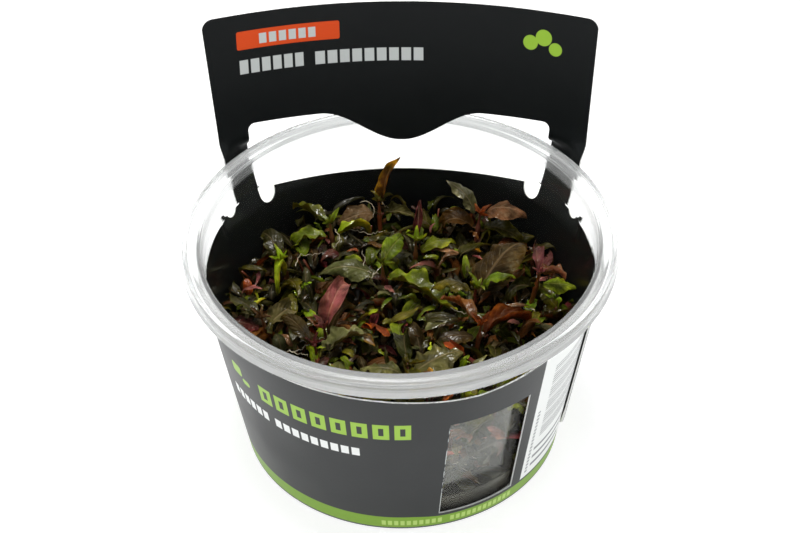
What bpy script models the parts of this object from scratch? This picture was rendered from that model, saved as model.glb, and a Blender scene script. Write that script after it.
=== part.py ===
"""Culture cup of rotala: a clear flanged cup in a printed card sleeve, with a clear gel on its floor,
rooted stems, leaves in crossed pairs and a mass of small leaves between the stems.

The origin is the middle of the cup's underside, +Z is up and +Y points at the standing header card.
Lengths below are millimetres, and MM turns them into metres where a mesh is made.
"""
import math

import bpy
import bmesh
import numpy as np

MM = 0.001
GAP = 0.35

# Cup
RIM_RADIUS = 50.6
CUP_HEIGHT = 58.6
BASE_RADIUS = 38.1
TAPER = 0.15
WALL = 0.6
FLOOR = 0.8
LEDGE_Z = 50.2
MOUTH_RADIUS = 45.9
CUP_SIDES = 40

# Card sleeve, laid flat with u along the band and z as the height on the cup.
# Where the two sides of the header differ, a value is a pair for left and right.
LEFT, RIGHT = 0, 1
CARD = 0.4
CARD_RADIUS = 38.7
CARD_FLAT_RADIUS = 46.0
BAND_BOTTOM = 1.0
BAND_TOP = 49.2
BACK_DIP = 43.1
BACK_DIP_EDGE = 46.3
SEAM_END = 108.0
SEAM_START = -268.0
SEAM_LIFT = 0.85
SLOT_CENTRE = (47.1, 44.6)
POST_OUTER = (60.2, 60.7)
SLOT_BOTTOM = 43.6
SLOT_HALF = 3.1
NOTCH_BOTTOM = 46.2
FOLD_LOW = 43.5
FOLD_HIGH = 54.0
FLANGE_CLEAR_RADIUS = 51.25
POST_GATHER = 0.936
HEADER_GATHER = 0.895
HEADER_DEPTH = 37.66
HEADER_LEAN = 0.12
HEADER_BOW = (0.0046, 0.0043, 0.0040)
HEADER_TOP = 95.0
HEADER_WINDOW_TOP = 66.2
WINDOW_EDGE = (41.5, 40.1)
HEADER_EDGE_LOW = (49.1, 49.8)
HEADER_EDGE_HIGH = 51.6
HEADER_CORNER = 2.6
TONGUE_TIP = 57.9
TONGUE_HALF = 22.3
FRONT_WINDOW = (-221.2, -195.1, 5.9, 40.0)
FRONT_WINDOW_FOOT = -193.4
FRONT_EDGE_DROP = ((178.0, 0.0), (170.0, 0.7), (163.0, 1.1), (156.0, 0.6), (149.0, -0.1), (141.0, -0.7),
                   (130.0, -1.0), (82.0, -1.0), (68.0, 0.0))

# Planting
GEL_TOP = 10.0
STEM_FOOT = 10.4
STEM_RADIUS = 0.8
STEM_LEAN = 0.82
LEAF_THICKNESS = 0.5
LEAF_STATIONS = 7
LEAF_CLEARANCE = 1.55
STEM_CLEARANCE = 0.9
WALL_CLEARANCE = 0.9
TANGLE_CLEARANCE = 0.75
FOLIAGE_TOP = 52.5
PAIR_STEP = 3.4
TANGLE_TOP = 36.2
TANGLE_SIDES = 20

# Each shoot: the crown of its stem, the heading of its lower pair of leaves and its number of leaves.
SHOOTS = [
    ((-6.0, 34.5, 41.0), 200, 3),
    ((19.5, 29.5, 41.0), 165, 4),
    ((-18.0, 26.0, 41.0), 30, 3),
    ((-29.0, 12.0, 41.0), 75, 3),
    ((18.0, 1.0, 41.5), 100, 4),
    ((33.0, 2.0, 45.5), 60, 4),
    ((19.0, -12.0, 41.5), 55, 3),
    ((2.0, -25.0, 41.0), 5, 4),
    ((-19.5, -18.5, 41.0), 60, 3),
    ((-17.6, -13.0, 41.5), 130, 3),
    ((-4.5, 8.5, 42.5), 335, 3),
    ((-32.5, -9.0, 41.0), 80, 3),
    ((3.5, 18.5, 41.5), 20, 3),
]

# Leaves with a place of their own: heading, climb and droop in degrees, length, width, fold in degrees.
CHOSEN = {
    (0, 2): (40, 88, 55, 13.0, 4.6, 38),
    (9, 2): (60, 84, 100, 14.5, 7.0, 30),
    (4, 0): (48, 66, 62, 20.0, 11.0, 12),
    (10, 0): (-38, 14, 36, 20.0, 7.0, 22),
    (7, 0): (22, 36, 44, 12.5, 9.0, 12),
    (8, 0): (36, 34, 40, 11.5, 6.0, 16),
    (6, 0): (15, 52, 120, 14.0, 7.0, 30),
    (3, 0): (262, 97, 170, 16.0, 6.0, 20),
    (1, 3): (8, 62, 100, 12.5, 7.0, 8),
    (1, 2): (148, 60, 30, 11.0, 5.5, 24),
    (10, 1): (172, 24, 40, 15.0, 6.5, 15),
    (5, 0): (-5, 12, 24, 8.0, 5.0, 15),
    (5, 2): (100, 52, 60, 8.0, 4.5, 30),
    (5, 3): (-25, 50, 80, 6.0, 4.0, 20),
    (9, 0): (42, 44, 84, 13.0, 5.5, 30),
    (8, 2): (140, 56, 60, 12.5, 4.2, 40),
    (8, 1): (-70, 20, 40, 6.0, 3.6, 30),
    (7, 1): (176, 34, 40, 9.5, 6.5, 12),
    (0, 0): (190, 26, 70, 10.0, 6.5, 10),
    (0, 1): (-12, 40, 40, 9.0, 4.6, 20),
    (2, 0): (15, 46, 90, 10.5, 4.6, 28),
    (1, 0): (172, 42, 95, 11.0, 5.5, 20),
    (12, 2): (85, 58, 45, 10.0, 5.0, 24),
    (12, 0): (25, 48, 90, 10.5, 5.0, 20),
    (11, 0): (60, 40, 80, 9.5, 6.0, 20),
    (11, 1): (165, 26, 34, 8.0, 4.6, 20),
    (4, 1): (178, 34, 60, 8.0, 4.2, 20),
    (9, 1): (205, 40, 50, 8.0, 3.6, 20),
    (3, 1): (60, 26, 40, 7.0, 3.6, 20),
}


def clear_scene():
    for item in list(bpy.data.objects):
        bpy.data.objects.remove(item, do_unlink=True)


def finish(name, colour, roughness, metallic=0.0, alpha=1.0, transmission=0.0):
    """A Principled BSDF with the piece's colour."""
    material = bpy.data.materials.new(name)
    material.use_nodes = True
    shader = material.node_tree.nodes["Principled BSDF"]
    shader.inputs["Base Color"].default_value = (*colour, 1.0)
    shader.inputs["Roughness"].default_value = roughness
    shader.inputs["Metallic"].default_value = metallic
    shader.inputs["Alpha"].default_value = alpha
    shader.inputs["Transmission Weight"].default_value = transmission
    return material


def add_piece(name, points, faces, material, smooth=30.0):
    """One object from points in millimetres and faces, shaded smooth below the given angle."""
    mesh = bpy.data.meshes.new(name)
    mesh.from_pydata((np.asarray(points, float) * MM).tolist(), [], [list(f) for f in faces])
    mesh.update()
    piece = bpy.data.objects.new(name, mesh)
    bpy.context.scene.collection.objects.link(piece)
    mesh.materials.append(material)
    mesh.shade_smooth()
    mesh.set_sharp_from_angle(angle=math.radians(smooth))
    return piece


def turned(profile, sides):
    """Points and faces of a profile of (radius, z) turned round Z.

    The profile runs up the outside and back down the inside, and it starts and ends on the axis.
    """
    points = [(0.0, 0.0, profile[0][1])]
    for radius, z in profile[1:-1]:
        for k in range(sides):
            angle = 2 * math.pi * k / sides
            points.append((radius * math.cos(angle), radius * math.sin(angle), z))
    points.append((0.0, 0.0, profile[-1][1]))
    rings = len(profile) - 2
    last = len(points) - 1
    faces = []
    for k in range(sides):
        n = (k + 1) % sides
        faces.append((0, 1 + n, 1 + k))
        faces.append((last, 1 + (rings - 1) * sides + k, 1 + (rings - 1) * sides + n))
        for ring in range(rings - 1):
            a = 1 + ring * sides
            b = a + sides
            faces.append((a + k, a + n, b + n, b + k))
    return points, faces


def outer_wall(z):
    return BASE_RADIUS + TAPER * z


def inner_wall(z):
    return BASE_RADIUS - WALL + TAPER * z


def cup_profile():
    """Floor, tapered wall, stacking ledge, neck, and a thin flange with a raised bead and a hanging skirt."""
    neck = MOUTH_RADIUS + 0.75
    top = CUP_HEIGHT
    skirt = RIM_RADIUS - 0.45
    outside = [
        (0.0, 0.0),
        (BASE_RADIUS - 2.2, 0.0),
        (BASE_RADIUS - 0.6, 0.4),
        (outer_wall(1.5), 1.5),
        (outer_wall(LEDGE_Z), LEDGE_Z),
        (neck - 0.8, LEDGE_Z + 0.8),
        (neck - 0.6, LEDGE_Z + 1.6),
        (neck + 0.1, top - 1.4),
        (skirt - 0.8, top - 1.1),
        (skirt - 0.6, top - 3.2),
        (RIM_RADIUS - 0.4, top - 3.5),
        (RIM_RADIUS, top - 3.4),
        (RIM_RADIUS, top - 3.0),
        (skirt, top - 2.5),
        (skirt, top - 1.0),
        (skirt - 0.2, top - 0.3),
        (skirt - 0.7, top),
        (skirt - 1.3, top - 0.25),
        (skirt - 1.9, top - 0.1),
    ]
    inside = [
        (MOUTH_RADIUS + 0.7, top - 0.1),
        (MOUTH_RADIUS + 0.15, top - 0.35),
        (MOUTH_RADIUS, top - 0.9),
        (MOUTH_RADIUS - 0.6, LEDGE_Z + 1.9),
        (MOUTH_RADIUS - 0.75, LEDGE_Z + 1.2),
        (inner_wall(LEDGE_Z + 0.4), LEDGE_Z + 0.4),
        (inner_wall(2.0), 2.0),
        (inner_wall(1.0) - 0.7, FLOOR + 0.25),
        (inner_wall(1.0) - 2.0, FLOOR),
        (0.0, FLOOR),
    ]
    return outside + inside


def make_cup():
    points, faces = turned(cup_profile(), CUP_SIDES)
    add_piece("cup", points, faces, finish("clear_cup", (0.9, 0.93, 0.92), 0.06, transmission=0.95))


def make_gel():
    """The gel follows the cup's wall and floor, with a low meniscus at its edge."""
    low = FLOOR + GAP
    profile = [
        (0.0, low),
        (inner_wall(1.0) - 2.2, low),
        (inner_wall(2.6) - GAP, 2.6),
        (inner_wall(GEL_TOP + 0.2) - GAP, GEL_TOP + 0.2),
        (inner_wall(GEL_TOP) - 2.2, GEL_TOP - 0.3),
        (0.0, GEL_TOP - 0.3),
    ]
    points, faces = turned(profile, CUP_SIDES)
    add_piece("culture_gel", points, faces, finish("gel", (0.8, 0.78, 0.66), 0.1, transmission=0.9))


def smooth_step(low, high, value):
    t = np.clip((value - low) / (high - low), 0.0, 1.0)
    return t * t * (3.0 - 2.0 * t)


def card_middle(u, z):
    """The bent card's middle surface.

    Below FOLD_LOW the card lies on the cup's cone. The posts then lean out until they clear the flange,
    and above the flange the header relaxes into a flatter arc that leans back a little.
    """
    angle = u / CARD_FLAT_RADIUS
    degrees = np.degrees(angle)
    radius = CARD_RADIUS + TAPER * z + SEAM_LIFT * smooth_step(74.0, 91.0, degrees)
    on_cone = np.stack([radius * np.sin(angle), radius * np.cos(angle)], -1)
    post_angle = angle * POST_GATHER
    past_flange = FLANGE_CLEAR_RADIUS * np.stack([np.sin(post_angle), np.cos(post_angle)], -1)
    x = HEADER_GATHER * u
    bow = np.interp(z, [TONGUE_TIP, HEADER_WINDOW_TOP, HEADER_TOP], HEADER_BOW)
    header = np.stack([x, HEADER_DEPTH + HEADER_LEAN * (z - CUP_HEIGHT) - bow * x * x], -1)
    rise = np.clip((z - FOLD_LOW) / (FOLD_HIGH - FOLD_LOW), 0.0, 1.0)
    lean = 0.5 * rise + 0.5 * rise * rise * (3.0 - 2.0 * rise)
    lean = np.where(np.abs(degrees) < 70.0, lean, 0.0)[..., None]
    free = np.maximum(smooth_step(58.7, 62.5, z), 1.0 - smooth_step(30.0, 38.0, np.abs(u)))
    free = np.where(z > 56.0, free, 0.0)[..., None]
    flat = on_cone * (1 - lean) + past_flange * lean
    flat = flat * (1 - free) + header * free
    return np.concatenate([flat, np.asarray(z, float)[..., None]], -1)


def bend_card(flat):
    """Moves flat card points (u, depth through the card, z) to their bent places."""
    u = flat[:, 0]
    depth = flat[:, 1]
    z = flat[:, 2]
    step = 0.05
    along = card_middle(u + step, z) - card_middle(u - step, z)
    up = card_middle(u, z + step) - card_middle(u, z - step)
    normal = np.cross(up, along)
    normal /= np.linalg.norm(normal, axis=1)[:, None]
    return card_middle(u, z) + normal * depth[:, None]


def slab(name, columns, rows, thickness):
    """A closed slab over a grid of u and z lines, as thick as the card, with depth along Y."""
    count = len(columns)
    points = []
    for side in (-0.5, 0.5):
        for z in rows:
            for u in columns:
                points.append((u, side * thickness, z))
    back = len(rows) * count
    faces = []
    for j in range(len(rows) - 1):
        for i in range(count - 1):
            a = j * count + i
            faces.append((a, a + 1, a + count + 1, a + count))
            faces.append((back + a, back + a + count, back + a + count + 1, back + a + 1))
    for i in range(count - 1):
        top = (len(rows) - 1) * count + i
        faces.append((i, back + i, back + i + 1, i + 1))
        faces.append((top, top + 1, back + top + 1, back + top))
    for j in range(len(rows) - 1):
        a = j * count
        b = a + count - 1
        faces.append((a, a + count, back + a + count, back + a))
        faces.append((b, back + b, back + b + count, b + count))
    mesh = bpy.data.meshes.new(name)
    mesh.from_pydata(points, [], faces)
    mesh.update()
    piece = bpy.data.objects.new(name, mesh)
    bpy.context.scene.collection.objects.link(piece)
    return piece


def cutter(name, outline):
    """An upright prism through the slab from an outline of (u, z) points."""
    half = 3.0
    count = len(outline)
    area = sum(outline[k][0] * outline[(k + 1) % count][1] - outline[(k + 1) % count][0] * outline[k][1]
               for k in range(count))
    if area < 0:
        outline = outline[::-1]
    points = [(u, -half, z) for u, z in outline] + [(u, half, z) for u, z in outline]
    faces = [tuple(range(count)), tuple(range(2 * count - 1, count - 1, -1))]
    for k in range(count):
        n = (k + 1) % count
        faces.append((k, k + count, n + count, n))
    mesh = bpy.data.meshes.new(name)
    mesh.from_pydata(points, [], faces)
    mesh.update()
    piece = bpy.data.objects.new(name, mesh)
    bpy.context.scene.collection.objects.link(piece)
    piece.hide_render = True
    piece.display_type = "WIRE"
    return piece


def arc(centre, radius, start, end, steps):
    """Points on an arc, with angles in degrees."""
    angles = np.radians(np.linspace(start, end, steps))
    return [(centre[0] + radius * math.cos(a), centre[1] + radius * math.sin(a)) for a in angles]


def flat_u(degrees):
    return math.radians(degrees) * CARD_FLAT_RADIUS


def window_half(side):
    """Half of the opening in the sleeve's back, with u counted away from the middle.

    It goes along the dip and round the relief slot, up the post's edge, and along the hanging tongue.
    """
    slot_half = flat_u(SLOT_HALF)
    slot_centre = flat_u(SLOT_CENTRE[side])
    corner = 1.8
    top = HEADER_WINDOW_TOP
    half = []
    for share in np.linspace(0.0, 1.0, 5)[1:]:
        half.append(((slot_centre - slot_half) * share, BACK_DIP + (BACK_DIP_EDGE - BACK_DIP) * share * share))
    half += arc((slot_centre, SLOT_BOTTOM + slot_half), slot_half, 180, 360, 7)
    half += arc((WINDOW_EDGE[side] - corner, top - corner), corner, 0, 90, 4)
    for share in np.linspace(1.0, 0.0, 10)[:-1]:
        drop = (top - TONGUE_TIP) * 0.5 * (1.0 + math.cos(math.pi * share))
        half.append((TONGUE_HALF * share, top - drop))
    return half


def header_window_outline():
    """The right half of the opening, then its left half."""
    left = [(-u, z) for u, z in reversed(window_half(LEFT))]
    return [(0.0, BACK_DIP)] + window_half(RIGHT) + [(0.0, TONGUE_TIP)] + left


def side_outline(side):
    """What is cut away beside the header: the band's top edge, a relief notch, and the header's side.

    At the front, which belongs to the left side's outline, the top edge rises a little and then dips.
    """
    sign = 1 if side == RIGHT else -1
    post = flat_u(POST_OUTER[side])
    notch_half = 2.5
    far = 240.0
    above = HEADER_TOP + 5.0
    corner = HEADER_CORNER
    outline = [(far, BAND_TOP), (far, above), (HEADER_EDGE_HIGH - corner, above)]
    outline += [(HEADER_EDGE_HIGH - corner, HEADER_TOP)]
    outline += arc((HEADER_EDGE_HIGH - corner, HEADER_TOP - corner), corner, 90, 8, 4)
    outline += [(HEADER_EDGE_LOW[side], 60.0), (post, 52.0)]
    outline += arc((post + notch_half, NOTCH_BOTTOM + notch_half), notch_half, 180, 325, 6)
    outline += [(post + 2 * notch_half + 1.2, BAND_TOP - 1.0), (post + 2 * notch_half + 5.0, BAND_TOP)]
    if side == LEFT:
        outline += [(u, BAND_TOP - drop) for u, drop in reversed(FRONT_EDGE_DROP)]
    return [(sign * u, z) for u, z in outline]


def front_window_outline():
    left, right, low, high = FRONT_WINDOW
    foot = flat_u(FRONT_WINDOW_FOOT)
    return [(flat_u(left), low), (foot, low), (flat_u(right), high), (flat_u(left), high)]


def flap_outline():
    """The outer flap of the seam ends short of the band's bottom, at a slant."""
    far = flat_u(SEAM_END) + 10.0
    return [(flat_u(94.0), BAND_BOTTOM - 4.0), (far, BAND_BOTTOM - 4.0), (far, 12.0), (flat_u(100.0), 8.5)]


def make_sleeve():
    """Cuts the flat card's openings, then bends it round the cup."""
    columns = np.linspace(flat_u(SEAM_START), flat_u(SEAM_END), 62)
    rows = [BAND_BOTTOM, 25.0, 44.0, 47.0, 49.6, 52.0, 54.5, 56.5, 58.6, 60.5, 62.5, 68.0, 81.0, HEADER_TOP]
    piece = slab("card_sleeve", columns, rows, CARD)
    outlines = [
        ("cut_header_window", header_window_outline()),
        ("cut_side_right", side_outline(RIGHT)),
        ("cut_side_left", side_outline(LEFT)),
        ("cut_front_window", front_window_outline()),
        ("cut_flap", flap_outline()),
    ]
    cutters = []
    for name, outline in outlines:
        tool = cutter(name, outline)
        cut = piece.modifiers.new(name, "BOOLEAN")
        cut.operation = "DIFFERENCE"
        cut.solver = "EXACT"
        cut.object = tool
        cutters.append(tool)
    bpy.context.view_layer.update()
    evaluated = piece.evaluated_get(bpy.context.evaluated_depsgraph_get())
    shape = bmesh.new()
    shape.from_mesh(evaluated.to_mesh())
    evaluated.to_mesh_clear()
    bmesh.ops.dissolve_degenerate(shape, dist=0.01, edges=shape.edges[:])
    bmesh.ops.triangulate(shape, faces=shape.faces[:])
    flat = np.array([vertex.co for vertex in shape.verts])
    for vertex, place in zip(shape.verts, bend_card(flat) * MM):
        vertex.co = place
    for item in [piece] + cutters:
        bpy.data.objects.remove(item, do_unlink=True)
    mesh = bpy.data.meshes.new("card_sleeve")
    shape.to_mesh(mesh)
    shape.free()
    sleeve = bpy.data.objects.new("card_sleeve", mesh)
    bpy.context.scene.collection.objects.link(sleeve)
    mesh.materials.append(finish("printed_card", (0.03, 0.035, 0.038), 0.45))
    mesh.shade_smooth()
    mesh.set_sharp_from_angle(angle=math.radians(35.0))


def stem_path(crown):
    """A stem stands nearly straight: its foot is a little nearer the cup's middle than its crown."""
    foot = np.array([crown[0] * STEM_LEAN, crown[1] * STEM_LEAN, STEM_FOOT])
    return foot, np.array(crown, float)


def tube(path, radii, sides):
    """Points and faces of a closed tube with level rings round a list of centres."""
    points = []
    for centre, radius in zip(path, radii):
        for k in range(sides):
            angle = 2 * math.pi * k / sides
            points.append((centre[0] + radius * math.cos(angle), centre[1] + radius * math.sin(angle), centre[2]))
    rings = len(path)
    faces = [tuple(range(sides - 1, -1, -1)), tuple(range((rings - 1) * sides, rings * sides))]
    for ring in range(rings - 1):
        for k in range(sides):
            n = (k + 1) % sides
            a = ring * sides
            b = a + sides
            faces.append((a + k, a + n, b + n, b + k))
    return points, faces


def leaf_surface(base, spec, stations, across):
    """A leaf's middle surface on a grid, and its normals.

    The midrib leaves the base at the climb angle and bends down by the droop along its length. The
    half-width follows a sine of the length, widest below the middle, and both halves fold up.
    """
    heading, climb, droop, length, width, fold = spec
    t = np.linspace(0.0, 1.0, stations)
    v = np.linspace(-1.0, 1.0, across)
    slope = np.radians(climb - droop * t)
    step = length / (stations - 1)
    run = np.concatenate([[0.0], np.cumsum(np.cos(0.5 * (slope[1:] + slope[:-1]))) * step])
    climb_sum = np.concatenate([[0.0], np.cumsum(np.sin(0.5 * (slope[1:] + slope[:-1]))) * step])
    out = np.array([math.cos(math.radians(heading)), math.sin(math.radians(heading)), 0.0])
    side = np.array([-out[1], out[0], 0.0])
    up = np.array([0.0, 0.0, 1.0])
    rib = np.asarray(base) + run[:, None] * out + climb_sum[:, None] * up
    normal = -np.sin(slope)[:, None] * out + np.cos(slope)[:, None] * up
    half = 0.5 * width * np.maximum(np.sin(math.pi * (0.06 + 0.90 * t) ** 0.85) ** 0.8, 0.12)
    lift = math.radians(fold)
    across_part = half[:, None] * v[None, :] * math.cos(lift)
    fold_part = half[:, None] * np.abs(v)[None, :] * math.sin(lift)
    surface = rib[:, None] + across_part[..., None] * side + fold_part[..., None] * normal[:, None]
    return surface, np.broadcast_to(normal[:, None], surface.shape)


def leaf_base(crown, spec, tier):
    """A leaf starts just clear of its stem, the lower pair PAIR_STEP below the crown and the upper at it."""
    foot, top = stem_path(crown)
    level = top[2] - 0.6 - (PAIR_STEP if tier == 0 else 0.0)
    share = (level - foot[2]) / (top[2] - foot[2])
    centre = foot + (top - foot) * share
    reach = STEM_RADIUS + GAP + 0.35
    heading = math.radians(spec[0])
    return centre + reach * np.array([math.cos(heading), math.sin(heading), 0.0])


def tangle_height(x, y):
    """The top of the mass of small leaves: a low dome with soft lumps."""
    lumps = 0.9 * np.sin(x * 0.31 + 0.8) * np.cos(y * 0.27 - 0.4) + 0.5 * np.sin(x * 0.17 - y * 0.23)
    return TANGLE_TOP + lumps - 2.8 * (x * x + y * y) / 1600.0


def inside_cup(points):
    radius = np.hypot(points[:, 0], points[:, 1])
    room = inner_wall(np.minimum(points[:, 2], LEDGE_Z)) - WALL_CLEARANCE
    above = points[:, 2] - tangle_height(points[:, 0], points[:, 1])
    clear = np.all(radius < room) and np.all(above > TANGLE_CLEARANCE)
    return bool(clear and points[:, 2].max() < FOLIAGE_TOP)


def place_leaves():
    """Every leaf's base and spec, in order, so that no two leaves and no leaf and stem come close.

    The leaves in CHOSEN go first. Each other leaf starts from its shoot's own rule. A leaf is turned,
    lifted or made smaller in steps until it's clear of the rest.
    """
    placed = {}
    taken = []
    for crown, _, _ in SHOOTS:
        foot, top = stem_path(crown)
        levels = np.linspace(0.8, 1.0, 6)[:, None]
        taken.append((None, foot + (top - foot) * levels))
    order = list(CHOSEN)
    for shoot, (_, _, count) in enumerate(SHOOTS):
        order += [(shoot, k) for k in range(count) if (shoot, k) not in CHOSEN]
    for shoot, k in order:
        crown, heading, _ = SHOOTS[shoot]
        tier = k // 2
        if (shoot, k) in CHOSEN:
            bearing, climb, droop, length, width, fold = CHOSEN[shoot, k]
            tries = [
                (bearing + turn, climb + lift, droop, share * length, share * width, fold)
                for share in (1.0, 0.92, 0.84, 0.76, 0.68, 0.6)
                for lift in (0, 6, -6, 12)
                for turn in (0, 6, -6, 12, -12, 18, -18)
            ]
        else:
            first = heading + 180 * (k % 2) + 90 * tier
            climb = 26 + 18 * tier
            tries = [
                (first + turn, climb + lift, 50 + 12 * (shoot % 3), length, 0.44 * length, 14 + 6 * (k % 3))
                for length in (11.0, 10.0, 9.0, 8.0, 7.0)
                for lift in (0, 14, 28)
                for turn in (0, 14, -14, 28, -28, 42, -42)
            ]
        for spec in tries:
            base = leaf_base(crown, spec, tier)
            cloud = leaf_surface(base, spec, 13, 5)[0].reshape(-1, 3)
            near = not inside_cup(cloud)
            for owner, other in taken:
                limit = STEM_CLEARANCE if owner is None else LEAF_CLEARANCE
                distance = np.linalg.norm(cloud[:, None] - other[None], axis=2).min()
                near = near or distance < limit
            if not near:
                break
        placed[shoot, k] = (base, spec)
        taken.append((shoot, cloud))
    return placed


def leaf_solid(base, spec):
    """The leaf's surface given a thickness: an upper grid, a lower grid and a rim that joins them."""
    across = 3
    surface, normal = leaf_surface(base, spec, LEAF_STATIONS, across)
    upper = (surface + 0.5 * LEAF_THICKNESS * normal).reshape(-1, 3)
    lower = (surface - 0.5 * LEAF_THICKNESS * normal).reshape(-1, 3)
    points = np.concatenate([upper, lower])
    below = LEAF_STATIONS * across
    faces = []
    for i in range(LEAF_STATIONS - 1):
        for j in range(across - 1):
            a = i * across + j
            faces.append((a, a + across, a + across + 1, a + 1))
            faces.append((below + a, below + a + 1, below + a + across + 1, below + a + across))
    rim = list(range(across))
    rim += [i * across + across - 1 for i in range(1, LEAF_STATIONS)]
    rim += [(LEAF_STATIONS - 1) * across + j for j in range(across - 2, -1, -1)]
    rim += [i * across for i in range(LEAF_STATIONS - 2, 0, -1)]
    for k, a in enumerate(rim):
        b = rim[(k + 1) % len(rim)]
        faces.append((a, b, below + b, below + a))
    return points, faces


def make_plants():
    stem_finish = finish("stem", (0.24, 0.12, 0.06), 0.4)
    leaf_finish = finish("leaf", (0.10, 0.12, 0.03), 0.35)
    for number, (crown, _, _) in enumerate(SHOOTS, start=1):
        foot, top = stem_path(crown)
        path = [foot + (top - foot) * share for share in (0.0, 0.4, 0.8, 1.0)]
        points, faces = tube(path, [STEM_RADIUS, STEM_RADIUS, STEM_RADIUS * 0.9, STEM_RADIUS * 0.5], 6)
        add_piece(f"stem_{number:02d}", points, faces, stem_finish)
    for (shoot, k), (base, spec) in sorted(place_leaves().items()):
        points, faces = leaf_solid(base, spec)
        add_piece(f"leaf_{shoot + 1:02d}_{'abcd'[k]}", points, faces, leaf_finish)


def make_tangle():
    """The mass of small leaves and roots between the stems, with a channel for each stem."""
    foot = STEM_FOOT
    rings = [(inner_wall(z) - 0.7, z) for z in (foot, 22.0, 31.5)]
    points = [(0.0, 0.0, foot)]
    shares = (0.95, 0.72, 0.44, 0.18)
    for radius, z in rings:
        for k in range(TANGLE_SIDES):
            angle = 2 * math.pi * k / TANGLE_SIDES
            points.append((radius * math.cos(angle), radius * math.sin(angle), z))
    for share in shares:
        for k in range(TANGLE_SIDES):
            angle = 2 * math.pi * k / TANGLE_SIDES
            x = share * rings[-1][0] * math.cos(angle)
            y = share * rings[-1][0] * math.sin(angle)
            points.append((x, y, float(tangle_height(x, y))))
    points.append((0.0, 0.0, float(tangle_height(0.0, 0.0))))
    count = len(rings) + len(shares)
    last = len(points) - 1
    faces = []
    for k in range(TANGLE_SIDES):
        n = (k + 1) % TANGLE_SIDES
        faces.append((0, 1 + n, 1 + k))
        faces.append((last, 1 + (count - 1) * TANGLE_SIDES + k, 1 + (count - 1) * TANGLE_SIDES + n))
        for ring in range(count - 1):
            a = 1 + ring * TANGLE_SIDES
            b = a + TANGLE_SIDES
            faces.append((a + k, a + n, b + n, b + k))
    tangle = add_piece("undergrowth", points, faces, finish("undergrowth", (0.07, 0.09, 0.025), 0.5))
    for number, (crown, _, _) in enumerate(SHOOTS, start=1):
        low, top = stem_path(crown)
        lean = (top - low) / (top[2] - low[2])
        path = [low - 3.0 * lean, top + 3.0 * lean]
        radius = STEM_RADIUS + GAP + 0.12
        tool = add_piece(f"channel_{number:02d}", *tube(path, [radius, radius], 8), None)
        tool.hide_render = True
        tool.display_type = "WIRE"
        cut = tangle.modifiers.new(tool.name, "BOOLEAN")
        cut.operation = "DIFFERENCE"
        cut.solver = "EXACT"
        cut.object = tool


def main():
    clear_scene()
    make_cup()
    make_gel()
    make_sleeve()
    make_plants()
    make_tangle()


main()
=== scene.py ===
"""The looks of a culture cup of rotala: clear cup, printed card sleeve, gel, stems, leaves and undergrowth.

Lengths are millimetres unless a name says otherwise, and MM turns them into metres in the meshes.
The part stands on z = 0 with the header card at the back, towards +Y.
"""
import math

import bpy
import numpy as np
from mathutils import Matrix, Vector
from mathutils.geometry import delaunay_2d_cdt


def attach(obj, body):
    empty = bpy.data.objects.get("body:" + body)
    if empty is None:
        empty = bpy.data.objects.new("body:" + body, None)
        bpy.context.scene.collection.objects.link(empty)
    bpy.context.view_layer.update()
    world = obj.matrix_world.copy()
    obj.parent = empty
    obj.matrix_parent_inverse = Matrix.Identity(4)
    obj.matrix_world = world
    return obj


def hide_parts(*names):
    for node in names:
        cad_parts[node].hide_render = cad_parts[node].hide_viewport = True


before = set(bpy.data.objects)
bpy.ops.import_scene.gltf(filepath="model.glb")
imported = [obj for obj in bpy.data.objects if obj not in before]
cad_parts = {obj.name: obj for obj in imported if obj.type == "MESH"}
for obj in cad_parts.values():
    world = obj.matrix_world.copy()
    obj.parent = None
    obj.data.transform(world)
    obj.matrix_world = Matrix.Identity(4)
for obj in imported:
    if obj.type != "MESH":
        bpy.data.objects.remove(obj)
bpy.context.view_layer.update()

MM = 0.001

# Cup, as the part has it
RIM_RADIUS = 50.6
CUP_HEIGHT = 58.6
BASE_RADIUS = 38.1
TAPER = 0.15
WALL = 0.6
FLOOR = 0.8
LEDGE_Z = 50.2
MOUTH_RADIUS = 45.9
CUP_SIDES = 240

# Card sleeve, laid flat with u along the band and z as the height on the cup.
# Where the two sides of the header differ, a value is a pair for left and right.
LEFT, RIGHT = 0, 1
CARD = 0.4
CARD_RADIUS = 38.7
CARD_FLAT_RADIUS = 46.0
BAND_BOTTOM = 1.0
BAND_TOP = 49.2
BACK_DIP = 43.1
BACK_DIP_EDGE = 46.3
SEAM_END = 108.0
SEAM_START = -268.0
SEAM_LIFT = 0.85
SLOT_CENTRE = (47.1, 44.6)
POST_OUTER = (60.2, 60.7)
SLOT_BOTTOM = 43.6
SLOT_HALF = 3.1
NOTCH_BOTTOM = 46.2
NOTCH_HALF = 2.5
FOLD_LOW = 43.5
FOLD_HIGH = 54.0
FLANGE_CLEAR_RADIUS = 51.25
POST_GATHER = 0.936
HEADER_GATHER = 0.895
HEADER_DEPTH = 37.66
HEADER_LEAN = 0.12
HEADER_BOW = (0.0046, 0.0043, 0.0040)
HEADER_TOP = 95.0
HEADER_WINDOW_TOP = 66.2
HEADER_WINDOW_CORNER = 1.8
WINDOW_EDGE = (41.5, 40.1)
HEADER_EDGE_LOW = (49.1, 49.8)
HEADER_EDGE_HIGH = 51.6
HEADER_CORNER = 2.6
TONGUE_TIP = 57.9
TONGUE_HALF = 22.3
FRONT_WINDOW = (-221.2, -195.1, 5.9, 40.0)
FRONT_WINDOW_FOOT = -193.4
FRONT_EDGE_DROP = ((178.0, 0.0), (170.0, 0.7), (163.0, 1.1), (156.0, 0.6), (149.0, -0.1), (141.0, -0.7),
                   (130.0, -1.0), (82.0, -1.0), (68.0, 0.0))
CARD_CELL = 1.1

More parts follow.
